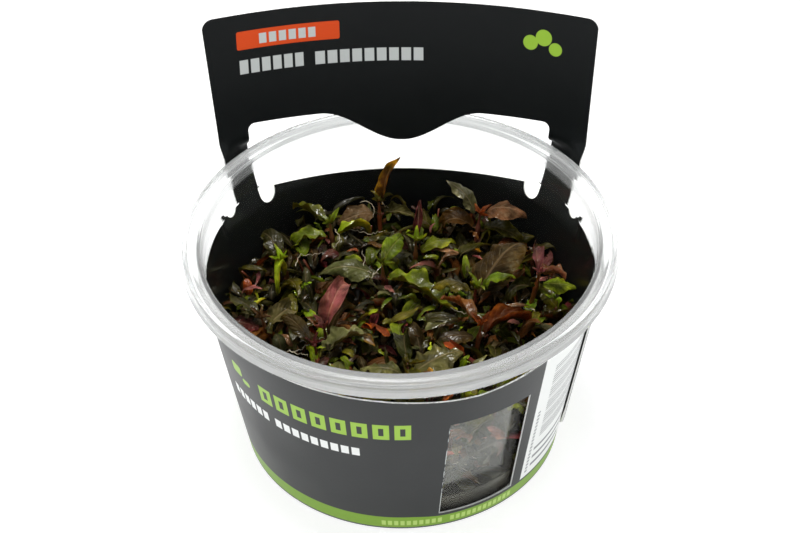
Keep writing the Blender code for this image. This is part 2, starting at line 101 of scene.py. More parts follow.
# Planting
GEL_TOP = 10.0
STEM_FOOT = 10.4
STEM_RADIUS = 0.8
STEM_LEAN = 0.82
LEAF_CLEARANCE = 1.55
STEM_CLEARANCE = 0.9
WALL_CLEARANCE = 0.9
TANGLE_CLEARANCE = 0.75
FOLIAGE_TOP = 52.5
PAIR_STEP = 3.4
TANGLE_TOP = 36.2
GAP = 0.35

# Each shoot: the crown of its stem, the heading of its lower pair of leaves and its number of leaves.
SHOOTS = [
    ((-6.0, 34.5, 41.0), 200, 3),
    ((19.5, 29.5, 41.0), 165, 4),
    ((-18.0, 26.0, 41.0), 30, 3),
    ((-29.0, 12.0, 41.0), 75, 3),
    ((18.0, 1.0, 41.5), 100, 4),
    ((33.0, 2.0, 45.5), 60, 4),
    ((19.0, -12.0, 41.5), 55, 3),
    ((2.0, -25.0, 41.0), 5, 4),
    ((-19.5, -18.5, 41.0), 60, 3),
    ((-17.6, -13.0, 41.5), 130, 3),
    ((-4.5, 8.5, 42.5), 335, 3),
    ((-32.5, -9.0, 41.0), 80, 3),
    ((3.5, 18.5, 41.5), 20, 3),
]

# Leaves with a place of their own: heading, climb and droop in degrees, length, width, fold in degrees.
CHOSEN = {
    (0, 2): (40, 88, 55, 13.0, 4.6, 38),
    (9, 2): (60, 84, 100, 14.5, 7.0, 30),
    (4, 0): (48, 66, 62, 20.0, 11.0, 12),
    (10, 0): (-38, 14, 36, 20.0, 7.0, 22),
    (7, 0): (22, 36, 44, 12.5, 9.0, 12),
    (8, 0): (36, 34, 40, 11.5, 6.0, 16),
    (6, 0): (15, 52, 120, 14.0, 7.0, 30),
    (3, 0): (262, 97, 170, 16.0, 6.0, 20),
    (1, 3): (8, 62, 100, 12.5, 7.0, 8),
    (1, 2): (148, 60, 30, 11.0, 5.5, 24),
    (10, 1): (172, 24, 40, 15.0, 6.5, 15),
    (5, 0): (-5, 12, 24, 8.0, 5.0, 15),
    (5, 2): (100, 52, 60, 8.0, 4.5, 30),
    (5, 3): (-25, 50, 80, 6.0, 4.0, 20),
    (9, 0): (42, 44, 84, 13.0, 5.5, 30),
    (8, 2): (140, 56, 60, 12.5, 4.2, 40),
    (8, 1): (-70, 20, 40, 6.0, 3.6, 30),
    (7, 1): (176, 34, 40, 9.5, 6.5, 12),
    (0, 0): (190, 26, 70, 10.0, 6.5, 10),
    (0, 1): (-12, 40, 40, 9.0, 4.6, 20),
    (2, 0): (15, 46, 90, 10.5, 4.6, 28),
    (1, 0): (172, 42, 95, 11.0, 5.5, 20),
    (12, 2): (85, 58, 45, 10.0, 5.0, 24),
    (12, 0): (25, 48, 90, 10.5, 5.0, 20),
    (11, 0): (60, 40, 80, 9.5, 6.0, 20),
    (11, 1): (165, 26, 34, 8.0, 4.6, 20),
    (4, 1): (178, 34, 60, 8.0, 4.2, 20),
    (9, 1): (205, 40, 50, 8.0, 3.6, 20),
    (3, 1): (60, 26, 40, 7.0, 3.6, 20),
}

# Leaf colours: the middle of the blade, then its tip and margin, as screen values from 0 to 255.
LEAF_COLOURS = {
    "deep": ((28, 28, 3), (56, 54, 8)),
    "olive": ((62, 58, 6), (108, 98, 14)),
    "green": ((84, 98, 8), (138, 148, 26)),
    "lime": ((112, 138, 14), (176, 192, 42)),
    "edged": ((36, 24, 5), (70, 54, 13)),
    "bronze": ((84, 46, 12), (122, 78, 28)),
    "umber": ((82, 56, 34), (124, 92, 62)),
    "rose": ((118, 60, 60), (184, 118, 106)),
    "rust": ((92, 34, 10), (156, 76, 22)),
    "maroon": ((62, 18, 22), (120, 48, 50)),
    # A grey olive: partly the leaves' own dull tone and partly painted sheen, the silvery look of wet leaves in the
    # light.
    "grey_and_painted_sheen": ((68, 68, 34), (122, 118, 74)),
    "amber": ((84, 48, 20), (216, 160, 26)),
}
CHOSEN_COLOURS = {
    (0, 0): "umber", (0, 1): "grey_and_painted_sheen", (0, 2): "amber", (1, 0): "bronze", (1, 2): "grey_and_painted_sheen", (1, 3): "umber",
    (2, 0): "lime", (3, 0): "lime", (4, 0): "edged", (4, 1): "green", (5, 0): "green", (5, 2): "rose",
    (5, 3): "umber", (6, 0): "rust", (7, 0): "grey_and_painted_sheen", (7, 1): "grey_and_painted_sheen", (8, 0): "grey_and_painted_sheen", (8, 1): "rose",
    (8, 2): "edged", (9, 0): "umber", (9, 2): "rose", (10, 0): "green", (10, 1): "grey_and_painted_sheen", (11, 0): "grey_and_painted_sheen",
    (11, 1): "maroon", (12, 0): "green", (12, 2): "maroon",
}

# Bends of single leaves: curl at the tip, roll across, twist and sweep in degrees
CHOSEN_BENDS = {
    (0, 2): {"curl": -30, "roll": 50, "twist": 30, "sweep": -35},
    (9, 2): {"curl": 90, "roll": 55, "twist": 40, "sweep": 10, "ruffle": 0.7},
    (4, 0): {"curl": 60, "roll": -50, "twist": -10, "sweep": -14, "ruffle": 0.6},
    (10, 0): {"curl": -10, "roll": 50, "twist": -35, "sweep": 14, "ruffle": 0.9},
    (7, 0): {"curl": 20, "roll": -60, "twist": 10, "sweep": 0, "ruffle": 0.9},
    (7, 1): {"curl": 30, "roll": -60, "twist": 20, "sweep": 0, "ruffle": 0.8},
    (8, 0): {"curl": 0, "roll": 60, "twist": -30, "sweep": -20, "ruffle": 0.6},
    (6, 0): {"curl": 30, "roll": 80, "twist": -20, "sweep": -10},
    (3, 0): {"curl": 150, "roll": 130, "twist": 30, "sweep": 5, "width": 4.2},
    (1, 3): {"curl": 40, "roll": -50, "twist": 0, "sweep": 0},
    (1, 2): {"curl": 10, "roll": -45, "twist": 10, "sweep": 10},
    (9, 0): {"curl": 40, "roll": 90, "twist": 30, "sweep": 0},
}
UNDERSIDE = (1.3, 0.8, 0.8)
DULL = {(4, 0), (6, 0), (1, 3), (0, 0), (3, 0), (0, 2)}
BUD_COLOURS = ("olive", "rust", "lime", "lime", "green", "rose", "rust", "olive", "maroon", "rose", "green",
               "umber", "lime")

# The photograph's camera: focal length and frame in pixels, distance, height of its aim, angles in degrees
FOCAL_PIXELS = 1800.0
FRAME_WIDTH = 800.0
CAMERA_DISTANCE = 422.0
CAMERA_ELEVATION = 40.60
CAMERA_AIM_Z = 48.63
CAMERA_TURN = 1.5
CAMERA_ROLL = 0.97


# Meshes


def make_piece(name, points, faces, materials, face_slots=None, uv=None, colours=None, sharp=40.0):
    """One object from points in millimetres.

    uv is one pair for each point, and colours holds named colours for each point.
    """
    mesh = bpy.data.meshes.new(name)
    mesh.from_pydata((np.asarray(points, float) * MM).tolist(), [], [list(map(int, f)) for f in faces])
    for material in materials:
        mesh.materials.append(material)
    if face_slots is not None:
        mesh.polygons.foreach_set("material_index", np.asarray(face_slots, np.int32))
    if uv is not None:
        corners = np.empty(len(mesh.loops), np.int32)
        mesh.loops.foreach_get("vertex_index", corners)
        layer = mesh.uv_layers.new(name="UVMap")
        layer.data.foreach_set("uv", np.asarray(uv, np.float32)[corners].ravel())
    for key, values in (colours or {}).items():
        attribute = mesh.attributes.new(key, "FLOAT_COLOR", "POINT")
        filled = np.concatenate([values, np.ones((len(values), 1))], 1)
        attribute.data.foreach_set("color", filled.astype(np.float32).ravel())
    mesh.update()
    mesh.shade_smooth()
    mesh.set_sharp_from_angle(angle=math.radians(sharp))
    piece = bpy.data.objects.new(name, mesh)
    bpy.context.scene.collection.objects.link(piece)
    return piece


def stand_in(piece, slot, *nodes):
    """The piece rides on the part and stands for CAD nodes, which are hidden; slot is not used."""
    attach(piece, "root")
    if nodes:
        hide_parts(*nodes)


def rounded(corners, steps=5):
    """Each corner (radius, z, rounding) becomes a quadratic curve between points at its rounding's distance."""
    line = [corners[0][:2]]
    for before, corner, after in zip(corners[:-2], corners[1:-1], corners[2:]):
        here = np.array(corner[:2])
        ends = []
        for other in (before, after):
            leg = np.array(other[:2]) - here
            length = np.linalg.norm(leg)
            ends.append(here + leg / length * min(corner[2], 0.45 * length))
        for t in np.linspace(0.0, 1.0, steps if corner[2] > 0 else 1):
            line.append(tuple((1 - t) ** 2 * ends[0] + 2 * t * (1 - t) * here + t * t * ends[1]))
    line.append(corners[-1][:2])
    return line


def turned(profile, sides):
    """Points and faces of a profile of (radius, z) turned round Z, which starts and ends on the axis."""
    angles = np.linspace(0.0, 2 * math.pi, sides, endpoint=False)
    rings = np.array(profile[1:-1])
    points = np.stack([
        rings[:, :1] * np.cos(angles),
        rings[:, :1] * np.sin(angles),
        np.broadcast_to(rings[:, 1:], (len(rings), sides)),
    ], -1).reshape(-1, 3)
    points = np.concatenate([[(0.0, 0.0, profile[0][1])], points, [(0.0, 0.0, profile[-1][1])]])
    k = np.arange(sides)
    n = (k + 1) % sides
    ring = 1 + sides * np.arange(len(rings) - 1)[:, None]
    quads = np.stack([ring + k, ring + n, ring + sides + n, ring + sides + k], -1).reshape(-1, 4)
    last = len(points) - 1
    top = last - sides
    fans = [(0, 1 + b, 1 + a) for a, b in zip(k, n)] + [(last, top + a, top + b) for a, b in zip(k, n)]
    return points, quads.tolist() + fans


def smooth_step(low, high, value):
    t = np.clip((value - low) / (high - low), 0.0, 1.0)
    return t * t * (3.0 - 2.0 * t)


def inner_wall(z):
    return BASE_RADIUS - WALL + TAPER * z


# Materials


def screen(*values):
    """A screen colour from 0 to 255 as linear light."""
    share = np.array(values, float) / 255.0
    return np.where(share <= 0.04045, share / 12.92, ((share + 0.055) / 1.055) ** 2.4)


class Finish:
    """One material, with short calls that add its nodes. A value is a number, a colour or a socket."""

    def __init__(self, name, **settings):
        self.material = bpy.data.materials.new(name)
        self.material.use_nodes = True
        self.tree = self.material.node_tree
        self.shader = self.tree.nodes["Principled BSDF"]
        for key, value in settings.items():
            self.set(key.replace("_", " "), value)

    def feed(self, socket, value):
        if isinstance(value, bpy.types.NodeSocket):
            self.tree.links.new(value, socket)
        elif socket.type == "RGBA":
            socket.default_value = (*value, 1.0)
        else:
            socket.default_value = value

    def set(self, name, value):
        self.feed(self.shader.inputs[name], value)

    def node(self, kind, inputs, output=0, **settings):
        made = self.tree.nodes.new("ShaderNode" + kind)
        for key, value in settings.items():
            setattr(made, key, value)
        for key, value in inputs.items():
            self.feed(made.inputs[key], value)
        return made.outputs[output]

    def math(self, operation, *values):
        return self.node("Math", dict(enumerate(values)), operation=operation)

    def mix(self, share, first, second, blend="MIX"):
        return self.node("Mix", {0: share, 6: first, 7: second}, 2, data_type="RGBA", blend_type=blend)

    def ramp(self, value, low, high, start=0.0, end=1.0):
        """A smooth rise from start to end as the value goes from low to high."""
        inputs = {"Value": value, "From Min": low, "From Max": high, "To Min": start, "To Max": end}
        return self.node("MapRange", inputs, interpolation_type="SMOOTHSTEP")

    def place(self):
        return self.node("TexCoord", {}, "Object")

    def noise(self, vector, scale, detail=3.0, roughness=0.5):
        inputs = {"Vector": vector, "Scale": scale, "Detail": detail, "Roughness": roughness}
        return self.node("TexNoise", inputs, 0)

    def attribute(self, name):
        return self.node("Attribute", {}, 0, attribute_name=name)

    def uv(self):
        """The two values of the piece's own UV map."""
        split = self.tree.nodes.new("ShaderNodeSeparateXYZ")
        self.feed(split.inputs[0], self.node("UVMap", {}, 0, uv_map="UVMap"))
        return split.outputs[0], split.outputs[1]

    def bump(self, height, strength, distance):
        self.set("Normal", self.node("Bump", {"Height": height, "Strength": strength, "Distance": distance}))

    def glow(self, colour, share):
        """A share of the light that falls on the far side of a thin blade comes through it."""
        through = self.node("BsdfTranslucent", {"Color": self.mix(0.35, colour, (0.6, 0.7, 0.1))})
        both = self.node("MixShader", {0: share, 1: self.shader.outputs[0], 2: through})
        self.tree.links.new(both, self.tree.nodes["Material Output"].inputs["Surface"])

    def box(self, u, z, left, right, low, high, corner=0.0, blur=0.07):
        """1 inside a rectangle with round corners on the flat card, and 0 outside."""
        reach = []
        for value, start, end in ((u, left, right), (z, low, high)):
            off = self.math("ABSOLUTE", self.math("SUBTRACT", value, 0.5 * (start + end)))
            reach.append(self.math("SUBTRACT", off, 0.5 * (end - start) - corner))
        beyond = [self.math("MAXIMUM", value, 0.0) for value in reach]
        squares = self.math("ADD", self.math("MULTIPLY", beyond[0], beyond[0]),
                            self.math("MULTIPLY", beyond[1], beyond[1]))
        inner = self.math("MINIMUM", self.math("MAXIMUM", *reach), 0.0)
        distance = self.math("SUBTRACT", self.math("ADD", self.math("SQRT", squares), inner), corner)
        return self.ramp(distance, -blur, blur, 1.0, 0.0)


def clear_plastic():
    """Clear moulded plastic: milky and duller where it is thick in the flange, and most of all in its skirt."""
    finish = Finish("clear_plastic", Base_Color=(0.97, 0.98, 0.975), IOR=1.3)
    place = finish.place()
    split = finish.tree.nodes.new("ShaderNodeSeparateXYZ")
    finish.feed(split.inputs[0], place)
    squares = [finish.math("MULTIPLY", split.outputs[k], split.outputs[k]) for k in (0, 1)]
    reach = finish.math("SQRT", finish.math("ADD", *squares))
    high = finish.ramp(split.outputs[2], 0.0548, 0.0556)
    skirt = finish.math("MULTIPLY", finish.ramp(reach, 0.0476, 0.0488),
                        finish.ramp(split.outputs[2], 0.0562, 0.0576, 1.0, 0.0))
    milk = finish.math("MULTIPLY_ADD", skirt, 0.2, 0.15)
    finish.set("Transmission Weight", finish.math("SUBTRACT", 0.995, finish.math("MULTIPLY", high, milk)))
    finish.set("Roughness", finish.ramp(split.outputs[2], 0.0548, 0.0556, 0.03, 0.2))
    stretched = finish.node("Mapping", {"Vector": place, "Scale": (1.0, 1.0, 5.0)})
    finish.bump(finish.noise(stretched, 60.0, 1.0), 0.05, 0.0004)
    return finish.material


def wall_painted_reflection():
    """The thin clear wall below the ledge, with a painted reflection on it behind the front window, down to the gel.
    """
    finish = Finish("wall_painted_reflection", Base_Color=(0.97, 0.98, 0.94), IOR=1.07)
    split = finish.tree.nodes.new("ShaderNodeSeparateXYZ")
    finish.feed(split.inputs[0], finish.place())
    bearing = finish.math("DEGREES", finish.math("ARCTAN2", split.outputs[1], split.outputs[0]))
    # Painted reflection: a whitish haze in the wall behind the front window, in place of a reflection, left off the
    # window's right strip and weaker near the bottom.
    painted_reflection_haze = finish.ramp(finish.noise(finish.place(), 70.0, 2.0), 0.3, 0.7, 0.07, 0.14)
    for value, low, high, start, end in (
        (bearing, -54.5, -53.9, 1.0, 0.0),
        (bearing, -84.0, -80.0, 0.0, 1.0),
        (split.outputs[2], 0.0152, 0.0178, 0.15, 1.0),
        (split.outputs[2], 0.042, 0.046, 1.0, 0.0),
    ):
        painted_reflection_haze = finish.math("MULTIPLY", painted_reflection_haze, finish.ramp(value, low, high, start, end))
    finish.set("Transmission Weight", finish.math("SUBTRACT", 0.997, painted_reflection_haze))
    finish.set("Roughness", finish.ramp(painted_reflection_haze, 0.0, 0.1, 0.02, 0.1))
    return finish.material


def clear_gel():
    """Gel that has gone brown and cloudy among the roots."""
    finish = Finish("clear_gel", Roughness=0.12, IOR=1.3, Transmission_Weight=0.55)
    cloud = finish.noise(finish.place(), 90.0, 3.0)
    finish.set("Base Color", finish.mix(finish.ramp(cloud, 0.3, 0.7), (0.05, 0.04, 0.025), (0.12, 0.10, 0.065)))
    finish.bump(finish.noise(finish.place(), 160.0, 3.0), 0.25, 0.0005)
    return finish.material


CHARCOAL = screen(20, 24, 25)
FRONT_BLACK = screen(8, 12, 13)
STRIPE_GREEN = screen(118, 160, 20)
MARK_GREEN = screen(150, 190, 60)
CARD_WHITE = screen(236, 238, 236)
TAG_ORANGE = screen(216, 74, 22)
NAME_GREY = screen(196, 200, 198)
FOOT_GREY = screen(70, 74, 74)
STRIPE_PALE = screen(176, 206, 104)


def card_base(finish, colour):
    """Coated card: a fine mottle in the ink, and a satin coat that varies a little."""
    place = finish.place()
    mottle = finish.noise(place, 900.0, 2.0)
    broad = finish.noise(place, 35.0, 2.0)
    shade = finish.math("MULTIPLY_ADD", mottle, 0.16, 0.92)
    ink = finish.mix(1.0, colour, shade, "MULTIPLY")
    finish.set("Roughness", finish.ramp(broad, 0.3, 0.7, 0.36, 0.46))
    finish.bump(mottle, 0.1, 0.0001)
    return ink


def block_row(finish, u, z, left, right, low, high, pitch, ink_share):
    """A row of upright blocks with rounded corners: the distance to the middle of the nearest block, in one box."""
    across = finish.math("PINGPONG", finish.math("SUBTRACT", u, left), 0.5 * pitch)
    start = 0.5 * pitch * (1.0 - ink_share)
    blocks = finish.ramp(across, start - 0.07, start + 0.07)
    return finish.math("MULTIPLY", blocks, finish.box(u, z, left, right, low, high, 0.3))


def outside_print():
    """Charcoal card with a green foot stripe, a white panel of ruled bars and rows of plain blocks."""
    finish = Finish("card_outside_print", Specular_IOR_Level=0.38)
    ink = card_base(finish, CHARCOAL)
    u, z = finish.uv()
    foot = finish.math("SUBTRACT", z, finish.ramp(u, -157.0, -147.0, 4.9, 5.6))
    ink = finish.mix(finish.ramp(foot, -0.1, 0.1, 1.0, 0.0), ink, STRIPE_GREEN)
    ticks = block_row(finish, u, z, -156.4, -139.2, 2.3, 4.1, 1.72, 0.66)
    more_ticks = block_row(finish, u, z, -178.0, -158.2, 2.3, 4.1, 1.65, 0.66)
    ink = finish.mix(finish.math("MAXIMUM", ticks, more_ticks), ink, STRIPE_PALE)
    ink = finish.mix(finish.ramp(z, 1.45, 1.6, 1.0, 0.0), ink, FOOT_GREY)
    panel_left = -math.radians(360 - 134.5) * CARD_FLAT_RADIUS
    panel = finish.box(u, z, panel_left - 80.0, panel_left, 5.6, 60.0)
    ink = finish.mix(panel, ink, CARD_WHITE)
    broad = finish.ramp(finish.math("PINGPONG", z, 2.3), 0.3, 0.5)
    narrow = finish.ramp(finish.math("PINGPONG", z, 0.46), 0.2, 0.28)
    bars = finish.math("MULTIPLY", finish.math("MULTIPLY", broad, narrow),
                       finish.box(u, z, panel_left - 24.0, panel_left - 4.6, 18.5, 43.8))
    notes = finish.math("MULTIPLY", finish.ramp(finish.math("PINGPONG", z, 1.5), 0.5, 0.6, 1.0, 0.0),
                        finish.box(u, z, panel_left - 19.0, panel_left - 3.4, 6.9, 15.5))
    margin = block_row(finish, z, u, 7.0, 30.0, panel_left - 2.4, panel_left - 1.4, 1.3, 0.6)
    ink = finish.mix(finish.math("MAXIMUM", bars, notes), ink, screen(136, 138, 139))
    ink = finish.mix(margin, ink, screen(150, 152, 152))
    title = block_row(finish, u, z, -148.2, -108.4, 36.3, 41.6, 4.975, 0.76)
    slots = block_row(finish, u, z, -148.2, -108.4, 37.6, 40.3, 4.975, 0.24)
    title = finish.math("MULTIPLY", title, finish.math("SUBTRACT", 1.0, slots))
    ink = finish.mix(title, ink, MARK_GREEN)
    for left, right, low, high in ((-102.4, -98.6, 38.8, 42.2), (-105.0, -102.2, 37.0, 38.7)):
        ink = finish.mix(finish.box(u, z, left, right, low, high, 0.8), ink, MARK_GREEN)
    first = block_row(finish, u, z, -135.7, -112.0, 29.3, 32.1, 2.633, 0.74)
    second = block_row(finish, u, z, -110.3, -95.6, 29.3, 32.3, 2.45, 0.74)
    ink = finish.mix(finish.math("MAXIMUM", first, second), ink, CARD_WHITE)
    low, high = (flat_u(angle) for angle in (FRONT_WINDOW_FOOT, FRONT_WINDOW[1]))
    slant = (high - low) / (FRONT_WINDOW[3] - FRONT_WINDOW[2])
    past = finish.math("SUBTRACT", u, finish.math("MULTIPLY_ADD", z, slant, low - slant * FRONT_WINDOW[2]))
    torn = finish.math("MULTIPLY", finish.ramp(finish.math("ABSOLUTE", past), 0.14, 0.24, 1.0, 0.0),
                       finish.box(u, z, low - 4.0, low + 4.0, FRONT_WINDOW[2], FRONT_WINDOW[3] - 1.0))
    torn = finish.math("MULTIPLY", torn, finish.ramp(finish.noise(finish.place(), 500.0, 2.0), 0.4, 0.55))
    ink = finish.mix(torn, ink, NAME_GREY)
    finish.set("Base Color", ink)
    return finish.material


def header_print():
    """Near-black card with an orange tag, a row of pale blocks and three plain green dots."""
    finish = Finish("card_inside_print", Specular_IOR_Level=0.2)
    ink = card_base(finish, FRONT_BLACK)
    u, z = finish.uv()
    ink = finish.mix(finish.box(u, z, -43.1, -16.2, 85.9, 90.6, 0.5), ink, TAG_ORANGE)
    tag = block_row(finish, u, z, -37.6, -22.2, 86.9, 89.5, 2.567, 0.74)
    first = block_row(finish, u, z, -43.0, -25.6, 79.6, 83.2, 2.9, 0.76)
    second = block_row(finish, u, z, -23.2, 6.4, 79.6, 83.0, 3.289, 0.78)
    ink = finish.mix(finish.math("MAXIMUM", tag, finish.math("MAXIMUM", first, second)), ink, NAME_GREY)
    for place, level, radius in ((34.4, 86.6, 1.9), (37.8, 88.2, 2.1), (40.9, 85.6, 1.7)):
        dot = finish.box(u, z, place - radius, place + radius, level - radius, level + radius, radius)
        ink = finish.mix(dot, ink, MARK_GREEN)
    finish.set("Base Color", ink)
    return finish.material


def cut_edge():
    finish = Finish("card_cut_edge", Base_Color=(0.8, 0.8, 0.78), Roughness=0.85)
    finish.set("Base Color", finish.mix(finish.noise(finish.place(), 1500.0, 2.0), (0.86, 0.86, 0.84),
                                        (0.68, 0.68, 0.66)))
    return finish.material


def leaf_blade(name, wet, through):
    """A leaf: the blade's own colours, pale veins, blotches, patches of wet film, and light through it."""
    finish = Finish(name, Coat_Roughness=0.12, Coat_IOR=1.55, Specular_IOR_Level=0.22,
                    Specular_Tint=(1.0, 0.88, 0.5), Coat_Tint=(1.0, 0.96, 0.8))
    along, across = finish.uv()
    place = finish.place()
    middle = finish.attribute("middle")
    margin = finish.attribute("margin")
    edge = finish.math("ABSOLUTE", across)
    blotch = finish.noise(place, 420.0, 3.0, 0.6)
    share = finish.math("MULTIPLY_ADD", finish.math("POWER", edge, 3.0), 0.55,
                        finish.ramp(along, 0.5, 1.0, 0.0, 0.5))
    share = finish.math("ADD", share, finish.ramp(blotch, 0.3, 0.7, -0.35, 0.35))
    colour = finish.mix(finish.ramp(share, 0.0, 1.0), middle, margin)
    shade = finish.ramp(finish.noise(place, 230.0, 3.0), 0.34, 0.66, 0.4, 1.3)
    colour = finish.mix(1.0, colour, shade, "MULTIPLY")
    side_vein = finish.math("PINGPONG", finish.math("MULTIPLY_ADD", edge, -0.3, along), 0.0625)
    side_vein = finish.ramp(side_vein, 0.0, 0.016, 1.0, 0.0)
    rib = finish.ramp(edge, 0.02, 0.1, 1.0, 0.0)
    vein = finish.math("MAXIMUM", finish.math("MULTIPLY", side_vein, 0.35), rib)
    colour = finish.mix(finish.math("MULTIPLY", vein, 0.3), colour, finish.mix(0.5, margin, (0.45, 0.3, 0.16)))
    finish.set("Base Color", colour)
    finish.set("Roughness", finish.ramp(finish.noise(place, 700.0, 2.0), 0.3, 0.7, 0.35, 0.6))
    finish.set("Coat Weight", finish.ramp(finish.noise(place, 210.0, 2.0), 0.46, 0.6, 0.0, wet))
    fine = finish.math("MULTIPLY_ADD", finish.noise(place, 2200.0, 2.0), 0.25, finish.noise(place, 700.0, 2.0))
    height = finish.math("SUBTRACT", fine, finish.math("MULTIPLY", vein, 0.5))
    bumped = finish.node("Bump", {"Height": height, "Strength": 0.8, "Distance": 0.0005})
    finish.set("Normal", bumped)
    finish.set("Coat Normal", bumped)
    finish.glow(colour, through)
    return finish.material


def stem_skin():
    """Soft wet stems, green at the foot and red brown higher up."""
    finish = Finish("stem_skin", Coat_Weight=0.4, Coat_Roughness=0.15)
    place = finish.place()
    along, across = finish.uv()
    blend = finish.math("ADD", finish.ramp(along, 0.2, 0.9), finish.ramp(finish.noise(place, 120.0), 0.3, 0.7,
                                                                       -0.35, 0.35))
    colour = finish.mix(finish.ramp(blend, 0.0, 1.0), screen(70, 66, 20), screen(84, 32, 14))
    finish.set("Base Color", finish.mix(0.25, colour, finish.attribute("middle")))
    finish.set("Roughness", finish.ramp(finish.noise(place, 600.0), 0.3, 0.7, 0.3, 0.5))
    finish.bump(finish.noise(place, 1500.0), 0.2, 0.0002)
    return finish.material


def root_thread():
    finish = Finish("root_thread", Roughness=0.4, Coat_Weight=0.3)
    finish.set("Base Color", finish.mix(finish.noise(finish.place(), 200.0), screen(206, 200, 178),
                                        screen(160, 140, 104)))
    return finish.material


# Cup and gel


def make_cup():
    """The cup's wall, ledge, neck and flange as one turned profile."""
    neck = MOUTH_RADIUS + 0.75
    top = CUP_HEIGHT
    skirt = RIM_RADIUS - 0.45
    outside = [
        (0.0, 0.5, 0.0),
        (BASE_RADIUS - 5.5, 0.5, 0.3),
        (BASE_RADIUS - 4.8, 0.0, 0.3),
        (BASE_RADIUS - 1.6, 0.0, 0.9),
        (BASE_RADIUS + TAPER * 1.6, 1.6, 0.9),
        (BASE_RADIUS + TAPER * LEDGE_Z, LEDGE_Z, 0.5),
        (neck - 0.8, LEDGE_Z + 0.8, 0.4),
        (neck - 0.6, LEDGE_Z + 1.6, 0.4),
        (neck + 0.1, top - 1.35, 0.4),
        (skirt - 0.8, top - 1.15, 0.45),
        (skirt - 0.6, top - 3.2, 0.25),
        (RIM_RADIUS - 0.4, top - 3.55, 0.15),
        (RIM_RADIUS, top - 3.4, 0.15),
        (RIM_RADIUS, top - 3.0, 0.2),
        (skirt, top - 2.4, 0.3),
        (skirt, top, 0.7),
        (skirt - 0.7, top, 0.2),
        (skirt - 1.3, top - 0.35, 0.45),
        (skirt - 1.9, top - 0.1, 0.3),
    ]
    inside = [
        (MOUTH_RADIUS + 0.5, top - 0.05, 0.2),
        (MOUTH_RADIUS, top - 0.45, 0.2),
        (MOUTH_RADIUS - 0.6, LEDGE_Z + 1.9, 0.3),
        (MOUTH_RADIUS - 0.75, LEDGE_Z + 1.2, 0.3),
        (inner_wall(LEDGE_Z + 0.4), LEDGE_Z + 0.4, 0.4),
        (inner_wall(1.6), 1.6, 1.2),
        (inner_wall(1.0) - 2.2, FLOOR, 1.2),
        (BASE_RADIUS - 6.5, FLOOR, 0.0),
        (0.0, FLOOR + 0.35, 0.0),
    ]
    points, faces = turned(rounded(outside + inside), CUP_SIDES)
    corners = np.array([face[:3] for face in faces])
    wall = points[corners, 2].max(1) < LEDGE_Z + 0.1
    piece = make_piece("cup_clear", points, faces, [clear_plastic(), wall_painted_reflection()], face_slots=wall, sharp=50.0)
    stand_in(piece, "clear_cup", "cup")


def make_gel():
    """The gel's disc, with a raised edge where it meets the wall."""
    low = FLOOR + GAP
    wall = inner_wall(GEL_TOP) - GAP
    profile = rounded([
        (0.0, low + 0.35, 0.0),
        (inner_wall(1.0) - 2.2, low, 1.0),
        (inner_wall(2.6) - GAP, 2.6, 1.0),
        (wall, GEL_TOP + 0.2, 0.05),
        (wall - 0.5, GEL_TOP - 0.1, 0.2),
        (wall - 2.5, GEL_TOP - 0.35, 1.0),
        (0.0, GEL_TOP - 0.3, 0.0),
    ])
    points, faces = turned(profile, 160)
    piece = make_piece("gel_clear", points, faces, [clear_gel()], sharp=50.0)
    stand_in(piece, "gel", "culture_gel")


# Card sleeve


def card_middle(u, z):
    """The bent card's middle surface.

    Below FOLD_LOW the card lies on the cup's cone. The posts then lean out until they clear the flange,
    and above the flange the header relaxes into a flatter arc that leans back a little.
    """
    angle = u / CARD_FLAT_RADIUS
    degrees = np.degrees(angle)
    radius = CARD_RADIUS + TAPER * z + SEAM_LIFT * smooth_step(74.0, 91.0, degrees)
    on_cone = np.stack([radius * np.sin(angle), radius * np.cos(angle)], -1)
    post_angle = angle * POST_GATHER
    past_flange = FLANGE_CLEAR_RADIUS * np.stack([np.sin(post_angle), np.cos(post_angle)], -1)
    x = HEADER_GATHER * u
    bow = np.interp(z, [TONGUE_TIP, HEADER_WINDOW_TOP, HEADER_TOP], HEADER_BOW)
    header = np.stack([x, HEADER_DEPTH + HEADER_LEAN * (z - CUP_HEIGHT) - bow * x * x], -1)
    rise = np.clip((z - FOLD_LOW) / (FOLD_HIGH - FOLD_LOW), 0.0, 1.0)
    lean = 0.5 * rise + 0.5 * rise * rise * (3.0 - 2.0 * rise)
    lean = np.where(np.abs(degrees) < 70.0, lean, 0.0)[..., None]
    free = np.maximum(smooth_step(58.7, 62.5, z), 1.0 - smooth_step(30.0, 38.0, np.abs(u)))
    free = np.where(z > 56.0, free, 0.0)[..., None]
    flat = on_cone * (1 - lean) + past_flange * lean
    flat = flat * (1 - free) + header * free
    return np.concatenate([flat, np.asarray(z, float)[..., None]], -1)


def arc(centre, radius, start, end, steps):
    """Points on an arc, with angles in degrees."""
    angles = np.radians(np.linspace(start, end, steps))
    return [(centre[0] + radius * math.cos(a), centre[1] + radius * math.sin(a)) for a in angles]


def flat_u(degrees):
    return math.radians(degrees) * CARD_FLAT_RADIUS


def both_halves(half, start=()):
    """The right half of an outline, then its left half in reverse, each with u counted from the middle."""
    return list(start) + half(RIGHT) + [(-u, z) for u, z in reversed(half(LEFT))]


